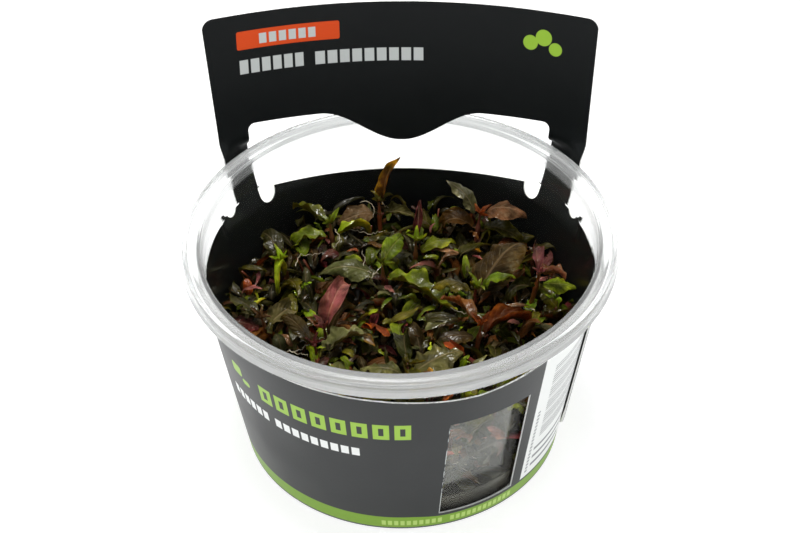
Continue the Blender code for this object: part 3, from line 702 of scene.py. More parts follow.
def window_half(side):
    """Half of the opening in the sleeve's back: dip, relief slot, post edge, corner and hanging tongue."""
    slot_half = flat_u(SLOT_HALF)
    slot_centre = flat_u(SLOT_CENTRE[side])
    corner = HEADER_WINDOW_CORNER
    top = HEADER_WINDOW_TOP
    half = []
    for share in np.linspace(0.0, 1.0, 12)[1:]:
        half.append(((slot_centre - slot_half) * share, BACK_DIP + (BACK_DIP_EDGE - BACK_DIP) * share * share))
    half += arc((slot_centre, SLOT_BOTTOM + slot_half), slot_half, 180, 360, 15)
    half += arc((WINDOW_EDGE[side] - corner, top - corner), corner, 0, 90, 8)
    for share in np.linspace(1.0, 0.0, 24)[:-1]:
        drop = (top - TONGUE_TIP) * 0.5 * (1.0 + math.cos(math.pi * share))
        half.append((TONGUE_HALF * share, top - drop))
    return half


def header_window_outline():
    """The opening in the sleeve's back, from the middle of its dip."""
    return both_halves(window_half, [(0.0, BACK_DIP)])


def header_half(side):
    """Half of the card's upper edge: band top, relief notch, and the header's side and top corner."""
    post = flat_u(POST_OUTER[side])
    corner = HEADER_CORNER
    half = [(post + 2 * NOTCH_HALF + 5.0, BAND_TOP), (post + 2 * NOTCH_HALF + 1.2, BAND_TOP - 1.0)]
    half += arc((post + NOTCH_HALF, NOTCH_BOTTOM + NOTCH_HALF), NOTCH_HALF, 325, 180, 13)
    half += [(post, 52.0), (HEADER_EDGE_LOW[side], 60.0)]
    return half + arc((HEADER_EDGE_HIGH - corner, HEADER_TOP - corner), corner, 8, 90, 9)


def card_outline():
    """The card's outer edge: slanted flap end, then the upper edge with the header, and the band's far end."""
    low = [(flat_u(SEAM_START), BAND_BOTTOM), (flat_u(96.0), BAND_BOTTOM), (flat_u(100.0), 8.5)]
    flap = [(flat_u(SEAM_END), 9.9), (flat_u(SEAM_END), BAND_TOP)]
    dip = [(-u, BAND_TOP - drop) for u, drop in reversed(FRONT_EDGE_DROP)]
    return low + flap + both_halves(header_half) + dip + [(flat_u(SEAM_START), BAND_TOP)]


def divided(outline, cell):
    """A closed outline with no side longer than a cell."""
    points = []
    for a, b in zip(outline, outline[1:] + outline[:1]):
        a, b = np.array(a), np.array(b)
        count = max(1, math.ceil(np.linalg.norm(b - a) / cell))
        points += [a + (b - a) * k / count for k in range(count)]
    return np.array(points)


def within(points, outline):
    """Whether each point lies in a closed outline: a line to its right crosses the outline an odd number of times."""
    u, z = points[:, :1], points[:, 1:]
    a, b = outline, np.roll(outline, -1, 0)
    drop = np.where(b[:, 1] == a[:, 1], 1.0, b[:, 1] - a[:, 1])
    reach = a[:, 0] + (z - a[:, 1]) / drop * (b[:, 0] - a[:, 0])
    crossed = ((a[:, 1] > z) != (b[:, 1] > z)) & (u < reach)
    return crossed.sum(1) % 2 == 1


def card_sheet():
    """Flat points and triangles that fill the card's outline between its two openings."""
    left, right, low, high = FRONT_WINDOW
    foot = flat_u(FRONT_WINDOW_FOOT)
    window = [(flat_u(left), low), (foot, low), (flat_u(right), high), (flat_u(left), high)]
    loops = [divided(outline, CARD_CELL) for outline in (card_outline(), header_window_outline(), window)]
    edges = []
    start = 0
    for loop in loops:
        edges += [(start + k, start + (k + 1) % len(loop)) for k in range(len(loop))]
        start += len(loop)
    rim = np.concatenate(loops)
    u, z = np.meshgrid(np.arange(flat_u(SEAM_START), flat_u(SEAM_END), CARD_CELL),
                       np.arange(BAND_BOTTOM, HEADER_TOP, CARD_CELL))
    grid = np.stack([u.ravel(), z.ravel()], -1)
    grid = grid[(grid[:, 1] < BAND_TOP) | (np.abs(grid[:, 0]) < HEADER_EDGE_HIGH)]
    nearest = np.concatenate([
        np.linalg.norm(part[:, None] - rim[None], axis=2).min(1) for part in np.array_split(grid, 20)
    ])
    grid = grid[nearest > 0.55 * CARD_CELL]
    flat = [Vector(point) for point in np.concatenate([rim, grid])]
    points, _, triangles, *_ = delaunay_2d_cdt(flat, edges, [], 1, 1e-4)
    points = np.array(points)
    triangles = np.array(triangles)
    middles = points[triangles].mean(1)
    triangles = triangles[~within(middles, loops[1]) & ~within(middles, loops[2])]
    a, b, c = (points[triangles[:, k]] for k in range(3))
    turn = (b[:, 0] - a[:, 0]) * (c[:, 1] - a[:, 1]) - (b[:, 1] - a[:, 1]) * (c[:, 0] - a[:, 0])
    triangles[turn < 0] = triangles[turn < 0][:, ::-1]
    return points, triangles


def make_sleeve():
    """The card's two faces at half its thickness from the middle surface, joined by its cut edges."""
    flat, triangles = card_sheet()
    u, z = flat[:, 0], flat[:, 1]
    step = 0.05
    along = card_middle(u + step, z) - card_middle(u - step, z)
    up = card_middle(u, z + step) - card_middle(u, z - step)
    normal = np.cross(up, along)
    normal *= 0.5 * CARD / np.linalg.norm(normal, axis=1)[:, None]
    middle = card_middle(u, z)
    count = len(flat)
    sides = np.concatenate([triangles[:, [k, (k + 1) % 3]] for k in range(3)])
    twice = {tuple(pair) for pair in sides[:, ::-1].tolist()}
    edge = [pair for pair in sides.tolist() if tuple(pair) not in twice]
    faces = [tri[::-1] for tri in triangles.tolist()]
    faces += (triangles + count).tolist()
    faces += [[a, b, count + b, count + a] for a, b in edge]
    slots = [0] * len(triangles) + [1] * len(triangles) + [2] * len(edge)
    points = np.concatenate([middle + normal, middle - normal])
    piece = make_piece("sleeve_card", points, faces, [outside_print(), header_print(), cut_edge()],
                       slots, uv=np.concatenate([flat, flat]), sharp=40.0)
    stand_in(piece, "printed_card", "card_sleeve")


# Planting


def stem_path(crown):
    """A stem stands nearly straight: its foot is a little nearer the cup's middle than its crown."""
    foot = np.array([crown[0] * STEM_LEAN, crown[1] * STEM_LEAN, STEM_FOOT])
    return foot, np.array(crown, float)


def plain_leaf(base, spec, stations, across):
    """The part's plain leaf on a grid: a midrib that climbs and droops, and a blade folded up on both sides."""
    heading, climb, droop, length, width, fold = spec
    t = np.linspace(0.0, 1.0, stations)
    v = np.linspace(-1.0, 1.0, across)
    slope = np.radians(climb - droop * t)
    step = length / (stations - 1)
    run = np.concatenate([[0.0], np.cumsum(np.cos(0.5 * (slope[1:] + slope[:-1]))) * step])
    climb_sum = np.concatenate([[0.0], np.cumsum(np.sin(0.5 * (slope[1:] + slope[:-1]))) * step])
    out = np.array([math.cos(math.radians(heading)), math.sin(math.radians(heading)), 0.0])
    side = np.array([-out[1], out[0], 0.0])
    up = np.array([0.0, 0.0, 1.0])
    rib = np.asarray(base) + run[:, None] * out + climb_sum[:, None] * up
    normal = -np.sin(slope)[:, None] * out + np.cos(slope)[:, None] * up
    half = 0.5 * width * np.maximum(np.sin(math.pi * (0.06 + 0.90 * t) ** 0.85) ** 0.8, 0.12)
    lift = math.radians(fold)
    across_part = half[:, None] * v[None, :] * math.cos(lift)
    fold_part = half[:, None] * np.abs(v)[None, :] * math.sin(lift)
    return rib[:, None] + across_part[..., None] * side + fold_part[..., None] * normal[:, None]


def leaf_base(crown, spec, tier):
    """A leaf starts just clear of its stem, the lower pair PAIR_STEP below the crown and the upper at it."""
    foot, top = stem_path(crown)
    level = top[2] - 0.6 - (PAIR_STEP if tier == 0 else 0.0)
    share = (level - foot[2]) / (top[2] - foot[2])
    centre = foot + (top - foot) * share
    reach = STEM_RADIUS + GAP + 0.35
    heading = math.radians(spec[0])
    return centre + reach * np.array([math.cos(heading), math.sin(heading), 0.0])


def tangle_height(x, y):
    """The top of the mass of small leaves: a low dome with soft lumps."""
    lumps = 0.9 * np.sin(x * 0.31 + 0.8) * np.cos(y * 0.27 - 0.4) + 0.5 * np.sin(x * 0.17 - y * 0.23)
    return TANGLE_TOP + lumps - 2.8 * (x * x + y * y) / 1600.0


def inside_cup(points):
    radius = np.hypot(points[:, 0], points[:, 1])
    room = inner_wall(np.minimum(points[:, 2], LEDGE_Z)) - WALL_CLEARANCE
    above = points[:, 2] - tangle_height(points[:, 0], points[:, 1])
    clear = np.all(radius < room) and np.all(above > TANGLE_CLEARANCE)
    return bool(clear and points[:, 2].max() < FOLIAGE_TOP)


def place_leaves():
    """Every leaf's base and spec, as the part places them: the chosen ones first, and each leaf turned, lifted
    or made smaller in steps until it's clear of the rest."""
    placed = {}
    taken = []
    for crown, _, _ in SHOOTS:
        foot, top = stem_path(crown)
        levels = np.linspace(0.8, 1.0, 6)[:, None]
        taken.append((None, foot + (top - foot) * levels))
    order = list(CHOSEN)
    for shoot, (_, _, count) in enumerate(SHOOTS):
        order += [(shoot, k) for k in range(count) if (shoot, k) not in CHOSEN]
    for shoot, k in order:
        crown, heading, _ = SHOOTS[shoot]
        tier = k // 2
        if (shoot, k) in CHOSEN:
            bearing, climb, droop, length, width, fold = CHOSEN[shoot, k]
            tries = [
                (bearing + turn, climb + lift, droop, share * length, share * width, fold)
                for share in (1.0, 0.92, 0.84, 0.76, 0.68, 0.6)
                for lift in (0, 6, -6, 12)
                for turn in (0, 6, -6, 12, -12, 18, -18)
            ]
        else:
            first = heading + 180 * (k % 2) + 90 * tier
            climb = 26 + 18 * tier
            tries = [
                (first + turn, climb + lift, 50 + 12 * (shoot % 3), length, 0.44 * length, 14 + 6 * (k % 3))
                for length in (11.0, 10.0, 9.0, 8.0, 7.0)
                for lift in (0, 14, 28)
                for turn in (0, 14, -14, 28, -28, 42, -42)
            ]
        for spec in tries:
            base = leaf_base(crown, spec, tier)
            cloud = plain_leaf(base, spec, 13, 5).reshape(-1, 3)
            near = not inside_cup(cloud)
            for owner, other in taken:
                limit = STEM_CLEARANCE if owner is None else LEAF_CLEARANCE
                distance = np.linalg.norm(cloud[:, None] - other[None], axis=2).min()
                near = near or distance < limit
            if not near:
                break
        placed[shoot, k] = (base, spec)
        taken.append((shoot, cloud))
    return placed


def blades(base, form, stations, across):
    """Middle surfaces and normals of many leaves at once, as arrays of leaf by station by across.

    The midrib climbs, droops, curls at its tip and sweeps sideways. The half-width is a sine of the length,
    wide below the middle and pointed at the tip. Across the blade each half is an arc whose angle at the
    margin is the roll, turned up from the midrib by the fold. The blade twists along its length, and its
    margin waves in two sines, more on one side than on the other. Quilting lifts the blade between veins.
    """
    (heading, climb, droop, curl, sweep, length, width, fold, roll, twist, ruffle, waves, phase,
     quilt) = (np.asarray(form[key], float).reshape(-1, 1) for key in (
         "heading", "climb", "droop", "curl", "sweep", "length", "width", "fold", "roll", "twist",
         "ruffle", "waves", "phase", "quilt"))
    t = np.linspace(0.0, 1.0, stations)[None, :]
    v = np.linspace(-1.0, 1.0, across)[None, None, :]
    slope = np.radians(climb - droop * t - curl * t ** 3 + 9.0 * np.sin(7.0 * t + phase))
    yaw = np.radians(heading + sweep * t * t + 7.0 * np.sin(6.0 * t + 2.0 * phase))
    ahead = np.stack([np.cos(slope) * np.cos(yaw), np.cos(slope) * np.sin(yaw), np.sin(slope)], -1)
    middle = 0.5 * (ahead[:, 1:] + ahead[:, :-1]) * (length / (stations - 1))[..., None]
    rib = np.concatenate([np.zeros_like(middle[:, :1]), np.cumsum(middle, 1)], 1) + base[:, None]
    side = np.stack([-np.sin(yaw), np.cos(yaw), np.zeros_like(yaw)], -1)
    normal = np.cross(ahead, side)
    turn = np.radians(twist * t)[..., None]
    side, normal = side * np.cos(turn) + normal * np.sin(turn), normal * np.cos(turn) - side * np.sin(turn)
    shape = np.sin(math.pi * (0.03 + 0.965 * t) ** 0.82) ** 0.9
    half = (0.5 * width * np.maximum(shape, 0.09 * (1.0 - t)))[..., None]
    bend = np.radians(roll * (0.5 + 0.8 * t))[..., None] * v
    flat = half * np.abs(v) * np.sinc(bend / math.pi)
    rise = half * np.abs(v) * np.abs(bend) * np.sign(roll)[..., None] * 0.5 * np.sinc(bend / math.pi / 2) ** 2
    lift = np.radians(fold * (1.1 - 0.5 * t))[..., None]
    out = (flat * np.cos(lift) - rise * np.sin(lift)) * np.sign(v)
    up = flat * np.sin(lift) + rise * np.cos(lift)
    angle = 2 * math.pi * waves[..., None] * t[..., None] + phase[..., None] + 1.9 * (v < 0)
    wave = np.sin(angle) + 0.45 * np.sin(2.3 * angle + 1.0)
    fade = np.sqrt(4.0 * t * (1.0 - t))[..., None]
    up = up + wave * ruffle[..., None] * np.abs(v) ** 1.7 * fade * (1.0 + 0.3 * np.sign(v))
    between = np.sin(2 * math.pi * (8.0 * t[..., None] - 2.6 * np.abs(v)))
    up = up + quilt[..., None] * between * np.abs(v) * (1.0 - np.abs(v)) * 4.0 * fade
    surface = rib[:, :, None] + out[..., None] * side[:, :, None] + up[..., None] * normal[:, :, None]
    return surface, np.broadcast_to(normal[:, :, None], surface.shape)


def blade_mesh(surface, normal, thickness, middle, margin, below_tint):
    """Closed blades: an upper and a lower sheet that share their rim, thickest along the midrib.

    The lower sheet's colours are the upper's times a tint, because the real undersides are redder.
    Returns points, faces, UV (share of the length, -1 to 1 across) and the two colours at each point.
    """
    leaves, stations, across = surface.shape[:3]
    t = np.linspace(0.0, 1.0, stations)[:, None]
    v = np.linspace(-1.0, 1.0, across)[None, :]
    body = np.clip(1.0 - v * v, 0.0, 1.0) ** 0.5 * np.clip(8.0 * t * (1.0 - t), 0.0, 1.0) ** 0.5
    offset = 0.5 * thickness * body[None, ..., None] * normal
    upper = surface + offset
    lower = (surface - offset)[:, 1:-1, 1:-1]
    count = stations * across
    inner = (stations - 2) * (across - 2)
    points = np.concatenate([upper.reshape(leaves, count, 3), lower.reshape(leaves, inner, 3)], 1)
    index = np.arange(count).reshape(stations, across)
    under = index.copy()
    under[1:-1, 1:-1] = count + np.arange(inner).reshape(stations - 2, across - 2)
    above = np.stack([index[:-1, :-1], index[1:, :-1], index[1:, 1:], index[:-1, 1:]], -1).reshape(-1, 4)
    below = np.stack([under[:-1, :-1], under[:-1, 1:], under[1:, 1:], under[1:, :-1]], -1).reshape(-1, 4)
    single = np.concatenate([above, below])
    faces = (single[None] + (np.arange(leaves) * (count + inner))[:, None, None]).reshape(-1, 4)
    uv = np.stack(np.broadcast_arrays(t, v), -1)
    uv = np.concatenate([uv.reshape(-1, 2), uv[1:-1, 1:-1].reshape(-1, 2)])
    uv = np.tile(uv, (leaves, 1))
    tint = np.ones((1, count + inner, 3))
    tint[:, count:] = below_tint
    colours = {
        "middle": (middle[:, None] * tint).reshape(-1, 3),
        "margin": (margin[:, None] * tint).reshape(-1, 3),
    }
    return points.reshape(-1, 3), faces, uv, colours


def colour_pair(name):
    middle, margin = LEAF_COLOURS[name]
    return screen(*middle), screen(*margin)


def make_leaves(wet_skin, dull_skin):
    """The leaves at the top of each shoot, one piece for each, at the part's own places."""
    rng = np.random.default_rng(11)
    kinds = ["deep", "olive", "green", "bronze", "umber", "edged", "rust"]
    chances = [0.22, 0.30, 0.14, 0.12, 0.10, 0.08, 0.04]
    for (shoot, k), (base, spec) in sorted(place_leaves().items()):
        heading, climb, droop, length, width, fold = spec
        kind = CHOSEN_COLOURS.get((shoot, k)) or rng.choice(kinds, p=chances)
        middle, margin = colour_pair(kind)
        # Painted light: besides a random tint, each leaf is painted brighter the nearer it stands to the front, and
        # darker towards the back.
        tint = rng.uniform(0.85, 1.15, 3) * (1.18 - 0.008 * base[1])
        form = {
            "heading": heading, "climb": climb, "droop": droop, "curl": rng.uniform(20, 110),
            "sweep": rng.uniform(-22, 22), "length": length * 1.04, "width": width * 1.05, "fold": fold,
            "roll": rng.choice([-1, 1]) * rng.uniform(40, 120), "twist": rng.uniform(-70, 70),
            "ruffle": rng.uniform(0.3, 0.7), "waves": rng.uniform(1.6, 3.4), "phase": rng.uniform(0, 6.3),
            "quilt": rng.uniform(0.08, 0.2),
        }
        form.update(CHOSEN_BENDS.get((shoot, k), {}))
        surface, normal = blades(base[None], form, 46, 17)
        points, faces, uv, colours = blade_mesh(surface, normal, 0.3, (middle * tint)[None],
                                                (margin * tint)[None], UNDERSIDE)
        skin = dull_skin if (shoot, k) in DULL else wet_skin
        node = f"leaf_{shoot + 1:02d}_{'abcd'[k]}"
        piece = make_piece(node + "_blade", points, faces, [skin], uv=uv, colours=colours, sharp=70.0)
        stand_in(piece, "leaf", node)


def tubes(paths, radii, sides, middle):
    """Closed tubes along many paths of the same number of stations, as one mesh.

    Each ring stands square to its path, and each end is closed by a point.
    """
    count, stations = paths.shape[:2]
    ahead = np.gradient(paths, axis=1)
    ahead /= np.linalg.norm(ahead, axis=2)[..., None]
    helper = np.where(np.abs(ahead[..., 2:]) > 0.9, [1.0, 0.0, 0.0], [0.0, 0.0, 1.0])
    first = np.cross(ahead, helper)
    first /= np.linalg.norm(first, axis=2)[..., None]
    second = np.cross(ahead, first)
    angles = np.linspace(0, 2 * math.pi, sides, endpoint=False)
    ring = (first[:, :, None] * np.cos(angles)[:, None] + second[:, :, None] * np.sin(angles)[:, None])
    body = paths[:, :, None] + ring * radii[:, :, None, None]
    start = paths[:, :1] - ahead[:, :1] * radii[:, :1, None] * 0.6
    end = paths[:, -1:] + ahead[:, -1:] * radii[:, -1:, None] * 0.6
    points = np.concatenate([start, body.reshape(count, -1, 3), end], 1)
    each = stations * sides + 2
    k = np.arange(sides)
    n = (k + 1) % sides
    ringed = 1 + sides * np.arange(stations - 1)[:, None]
    quads = np.stack([ringed + k, ringed + sides + k, ringed + sides + n, ringed + n], -1).reshape(-1, 4)
    last = 1 + (stations - 1) * sides
    fans = np.concatenate([
        np.stack([np.zeros(sides, int), 1 + k, 1 + n], -1),
        np.stack([np.full(sides, each - 1), last + n, last + k], -1),
    ])
    faces = []
    for part in (quads, fans):
        faces += (part[None] + (np.arange(count) * each)[:, None, None]).reshape(-1, part.shape[1]).tolist()
    t = np.concatenate([[0.0], np.repeat(np.linspace(0, 1, stations), sides), [1.0]])
    uv = np.tile(np.stack([t, np.zeros_like(t)], -1), (count, 1))
    return points.reshape(-1, 3), faces, uv, {"middle": np.repeat(middle, each, 0)}


def make_stems(skin):
    """Each stem runs from the gel to its crown, with joints that swell a little."""
    rng = np.random.default_rng(5)
    stations = 60
    for number, (crown, _, _) in enumerate(SHOOTS, start=1):
        foot, top = stem_path(crown)
        lean = (top - foot) / (top[2] - foot[2])
        t = np.linspace(0.0, 1.0, stations)[:, None]
        low = foot - lean * (STEM_FOOT - 4.0)
        path = low + (top - low) * t
        sway = rng.uniform(0, 6.3, 2)
        path[:, 0] += 0.3 * np.sin(9.0 * t[:, 0] + sway[0]) * (1 - t[:, 0])
        path[:, 1] += 0.3 * np.sin(8.0 * t[:, 0] + sway[1]) * (1 - t[:, 0])
        joint = np.abs(np.sin(t[:, 0] * math.pi * 7.0 + 1.0)) ** 14
        radius = STEM_RADIUS * (0.95 - 0.3 * t[:, 0] + 0.25 * joint) * (1.0 - 0.5 * smooth_step(0.85, 1.0, t[:, 0]))
        colour = screen(*rng.uniform([90, 60, 20], [150, 90, 50]))
        points, faces, uv, colours = tubes(path[None], radius[None], 14, colour[None])
        node = f"stem_{number:02d}"
        piece = make_piece(node + "_soft", points, faces, [skin], uv=uv, colours=colours, sharp=60.0)
        stand_in(piece, "stem", node)


def press_to_wall(points, room):
    """Points that would pass the cup's wall are moved in to it, as the wall presses a leaf flat."""
    radius = np.hypot(points[..., 0], points[..., 1])
    limit = inner_wall(np.clip(points[..., 2], 0.0, LEDGE_Z)) - room
    share = np.minimum(1.0, limit / np.maximum(radius, 1e-6))
    pressed = points.copy()
    pressed[..., 0] *= share
    pressed[..., 1] *= share
    return pressed


def scatter(rng, count, zone):
    """Bases and sizes of small leaves in one zone of the undergrowth."""
    angle = rng.uniform(0, 2 * math.pi, count)
    if zone == "canopy":
        radius = 41.0 * np.sqrt(rng.uniform(0, 1, count))
        x, y = radius * np.cos(angle), radius * np.sin(angle)
        z = tangle_height(x, y) - rng.uniform(-2.0, 8.0, count)
        length = rng.uniform(4.5, 12.0, count)
        climb = rng.uniform(0, 85, count)
    elif zone == "sprigs":
        radius = 40.5 * np.sqrt(rng.uniform(0, 1, count))
        x, y = radius * np.cos(angle), radius * np.sin(angle)
        z = tangle_height(x, y) + rng.uniform(-1.0, 3.2, count)
        length = rng.uniform(2.6, 6.5, count)
        climb = rng.uniform(-30, 80, count)
    elif zone == "litter":
        radius = 36.5 * np.sqrt(rng.uniform(0, 1, count))
        x, y = radius * np.cos(angle), radius * np.sin(angle)
        z = rng.uniform(10.8, 13.5, count)
        length = rng.uniform(7.0, 12.0, count)
        climb = rng.uniform(-5, 25, count)
    elif zone == "lower":
        radius = 38.0 * np.sqrt(rng.uniform(0, 1, count))
        x, y = radius * np.cos(angle), radius * np.sin(angle)
        z = rng.uniform(13.0, 31.0, count)
        length = rng.uniform(6.0, 12.0, count)
        climb = rng.uniform(-20, 75, count)
    else:
        z = rng.uniform(12.0, 34.0, count)
        radius = inner_wall(z) - rng.uniform(0.6, 5.0, count)
        x, y = radius * np.cos(angle), radius * np.sin(angle)
        length = rng.uniform(7.0, 13.0, count)
        climb = rng.uniform(0, 80, count)
    return np.stack([x, y, z], -1), length, climb


def make_undergrowth(skin, stem_finish):
    """The small leaves, side shoots and roots between the stems, joined into a few meshes.

    A tip that rises past the crowd's top is held back: its extra height e becomes c (1 - exp(-e / c)).
    Leaves lower in the crowd are painted darker as painted shade, less so by the wall, and the crowd is painted
    brighter at the front than at the back.
    """
    rng = np.random.default_rng(23)
    kinds = list(LEAF_COLOURS)
    chances = {
        "canopy": [0.22, 0.24, 0.13, 0.02, 0.06, 0.10, 0.09, 0.02, 0.04, 0.04, 0.04, 0.0],
        "sprigs": [0.10, 0.16, 0.14, 0.10, 0.08, 0.08, 0.12, 0.04, 0.06, 0.02, 0.08, 0.02],
        "litter": [0.40, 0.20, 0.0, 0.0, 0.0, 0.20, 0.16, 0.0, 0.04, 0.0, 0.0, 0.0],
        "lower": [0.40, 0.30, 0.08, 0.0, 0.0, 0.12, 0.06, 0.0, 0.02, 0.02, 0.0, 0.0],
        "wall": [0.30, 0.20, 0.04, 0.0, 0.0, 0.12, 0.06, 0.12, 0.08, 0.06, 0.02, 0.0],
    }
    pairs = np.array([colour_pair(kind) for kind in kinds])
    for zone, count in (("canopy", 520), ("sprigs", 420), ("lower", 360), ("wall", 300),
                        ("litter", 260)):
        base, length, climb = scatter(rng, count, zone)
        kind = rng.choice(len(kinds), count, p=chances[zone])
        depth = tangle_height(base[:, 0], base[:, 1]) - base[:, 2]
        # Painted shade: the deeper a leaf's base lies below the crowd's top, the darker its colour.
        painted_depth_shade = 1.0 - (0.3 if zone == "wall" else 0.8) * smooth_step(0.5, 8.0, depth)
        tint = (painted_depth_shade * (0.14 + 1.2 * rng.uniform(0, 1, count) ** 1.5))[:, None] * rng.uniform(0.92, 1.08, (count, 3))
        form = {
            "heading": rng.uniform(0, 360, count), "climb": climb, "droop": rng.uniform(20, 120, count),
            "curl": rng.uniform(-20, 140, count), "sweep": rng.uniform(-60, 60, count), "length": length,
            "width": length * rng.uniform(0.26, 0.46, count), "fold": rng.uniform(2, 48, count),
            "roll": rng.choice([-1, 1], count) * rng.uniform(30, 130, count),
            "twist": rng.uniform(-80, 80, count), "ruffle": rng.uniform(0.15, 0.6, count),
            "waves": rng.uniform(1.2, 2.8, count), "phase": rng.uniform(0, 6.3, count),
            "quilt": rng.uniform(0.0, 0.12, count),
        }
        # Painted light: leaves are painted brighter towards the front and darker towards the back; leaves by the wall
        # are 1.3 times brighter as well.
        tint = tint * (1.62 - 0.016 * base[:, 1:2]) * (1.3 if zone == "wall" else 1.0)
        surface, normal = blades(base, form, 11, 7)
        surface = press_to_wall(surface, 0.5)
        crowd_top = tangle_height(surface[..., 0], surface[..., 1]) + 1.4
        extra = np.maximum(surface[..., 2] - crowd_top, 0.0)
        surface[..., 2] -= extra - 3.4 * (1.0 - np.exp(-extra / 3.4))
        points, faces, uv, colours = blade_mesh(surface, normal, 0.26, pairs[kind, 0] * tint,
                                                pairs[kind, 1] * tint, UNDERSIDE)
        points = press_to_wall(points, 0.3)
        points[:, 2] = np.maximum(points[:, 2], GEL_TOP + 0.2)
        piece = make_piece("undergrowth_" + zone, points, faces, [skin], uv=uv, colours=colours, sharp=70.0)
        stand_in(piece, "undergrowth", *(["undergrowth"] if zone == "canopy" else []))
    make_side_shoots(rng, stem_finish)
    make_buds(rng, skin)
    make_roots(rng)


def make_buds(rng, skin):
    """The unopened pairs at each stem's crown: six short upright leaves that close on one another."""
    crowns = np.array([crown for crown, _, _ in SHOOTS])
    base = np.repeat(crowns, 6, 0) - (0.0, 0.0, 0.9)
    count = len(base)
    heading = np.tile(np.arange(6) * 97.0, len(crowns)) + np.repeat(rng.uniform(0, 360, len(crowns)), 6)
    inner = np.tile(np.arange(6) / 5.0, len(crowns))
    length = 4.6 - 2.4 * inner + rng.uniform(-0.4, 0.4, count)
    form = {
        "heading": heading, "climb": 38.0 + 40.0 * inner, "droop": rng.uniform(-30, 50, count),
        "curl": rng.uniform(-20, 60, count), "sweep": rng.uniform(-20, 20, count), "length": length,
        "width": 0.4 * length, "fold": rng.uniform(15, 45, count), "roll": rng.uniform(20, 90, count),
        "twist": rng.uniform(-30, 30, count), "ruffle": rng.uniform(0.05, 0.2, count),
        "waves": rng.uniform(1, 2, count), "phase": rng.uniform(0, 6.3, count), "quilt": np.zeros(count),
    }
    pairs = np.array([colour_pair(BUD_COLOURS[k % len(BUD_COLOURS)]) for k in range(len(crowns))])
    pairs = np.repeat(pairs, 6, 0) * rng.uniform(0.8, 1.2, (count, 1, 1))
    surface, normal = blades(base, form, 12, 7)
    points, faces, uv, colours = blade_mesh(surface, normal, 0.22, pairs[:, 0], pairs[:, 1], UNDERSIDE)
    piece = make_piece("crown_buds", points, faces, [skin], uv=uv, colours=colours, sharp=70.0)
    stand_in(piece, "undergrowth")


def make_side_shoots(rng, skin):
    """Thin bent stems that fill the room between the thirteen main ones."""
    count, stations = 90, 12
    t = np.linspace(0, 1, stations)[None, :, None]
    angle = rng.uniform(0, 2 * math.pi, count)
    radius = 37.0 * np.sqrt(rng.uniform(0, 1, count))
    low = np.stack([radius * np.cos(angle), radius * np.sin(angle), np.full(count, GEL_TOP - 0.5)], -1)
    high = low + np.concatenate([rng.uniform(-7, 7, (count, 2)), rng.uniform(19, 27, (count, 1))], 1)
    bend = np.concatenate([rng.uniform(-5, 5, (count, 2)), np.zeros((count, 1))], 1)
    paths = low[:, None] * (1 - t) + high[:, None] * t + bend[:, None] * t * (1 - t) * 2
    paths = press_to_wall(paths, 1.2)
    radii = 0.45 * (1.0 - 0.4 * t[..., 0]) * rng.uniform(0.8, 1.2, (count, 1))
    middle = screen(*np.array([120, 70, 34])) * rng.uniform(0.6, 1.3, (count, 1))
    points, faces, uv, colours = tubes(paths, radii, 6, middle)
    piece = make_piece("side_shoots", points, faces, [skin], uv=uv, colours=colours, sharp=60.0)
    stand_in(piece, "undergrowth")


def make_roots(rng):
    """Fine pale roots that wander over the gel and hang between the leaves."""
    count, stations = 70, 14
    t = np.linspace(0, 1, stations)
    angle = rng.uniform(0, 2 * math.pi, count)
    radius = 36.0 * np.sqrt(rng.uniform(0, 1, count))
    start = np.stack([radius * np.cos(angle), radius * np.sin(angle), rng.uniform(11, 20, count)], -1)
    turn = rng.uniform(0, 6.3, (count, 1)) + np.cumsum(rng.normal(0, 0.35, (count, stations)), 1)
    stride = rng.uniform(0.6, 1.3, (count, 1))
    steps = np.stack([np.cos(turn), np.sin(turn), rng.normal(-0.25, 0.3, turn.shape)], -1) * stride[..., None]
    paths = start[:, None] + np.cumsum(steps, 1)
    paths = press_to_wall(paths, 0.8)
    paths[..., 2] = np.maximum(paths[..., 2], GEL_TOP + 0.3)
    radii = np.full((count, stations), 0.13) * (1.0 - 0.6 * t)
    points, faces, uv, colours = tubes(paths, radii, 5, np.ones((count, 3)) * 0.6)
    thread = root_thread()
    piece = make_piece("roots", points, faces, [thread], uv=uv, colours=colours, sharp=60.0)
    stand_in(piece, "undergrowth")
    count = 16
    t = np.linspace(0, 1, 20)
    middle = rng.integers(0, len(SHOOTS), count)
    crowns = np.array([crown for crown, _, _ in SHOOTS])[middle]
    start = crowns + np.stack([rng.uniform(-6, 6, count), rng.uniform(-6, 6, count), np.zeros(count)], -1)
    start[:3] = (-29.0, -17.0, 38.0), (-27.5, -18.0, 38.5), (-26.0, -17.5, 38.0)
    turn = rng.uniform(0, 6.3, (count, 1)) + np.cumsum(rng.normal(0, 0.3, (count, len(t))), 1)
    turn[:3] = turn[:3] - turn[:3, :1] + np.array([[-0.3], [-0.9], [0.2]])
    stride = rng.uniform(0.3, 0.6, (count, 1))
    steps = np.stack([np.cos(turn), np.sin(turn), np.zeros_like(turn)], -1) * stride[..., None]
    paths = start[:, None] + np.cumsum(steps, 1)
    paths[..., 2] = tangle_height(paths[..., 0], paths[..., 1]) + 3.4 + rng.normal(0, 0.25, (count, len(t)))
    paths = press_to_wall(paths, 0.9)
    radii = np.full((count, len(t)), 0.1) * (1.0 - 0.6 * t)
    points, faces, uv, colours = tubes(paths, radii, 5, np.ones((count, 3)) * 0.6)
    piece = make_piece("loose_threads", points, faces, [thread], uv=uv, colours=colours, sharp=60.0)
    stand_in(piece, "undergrowth")


# Stage


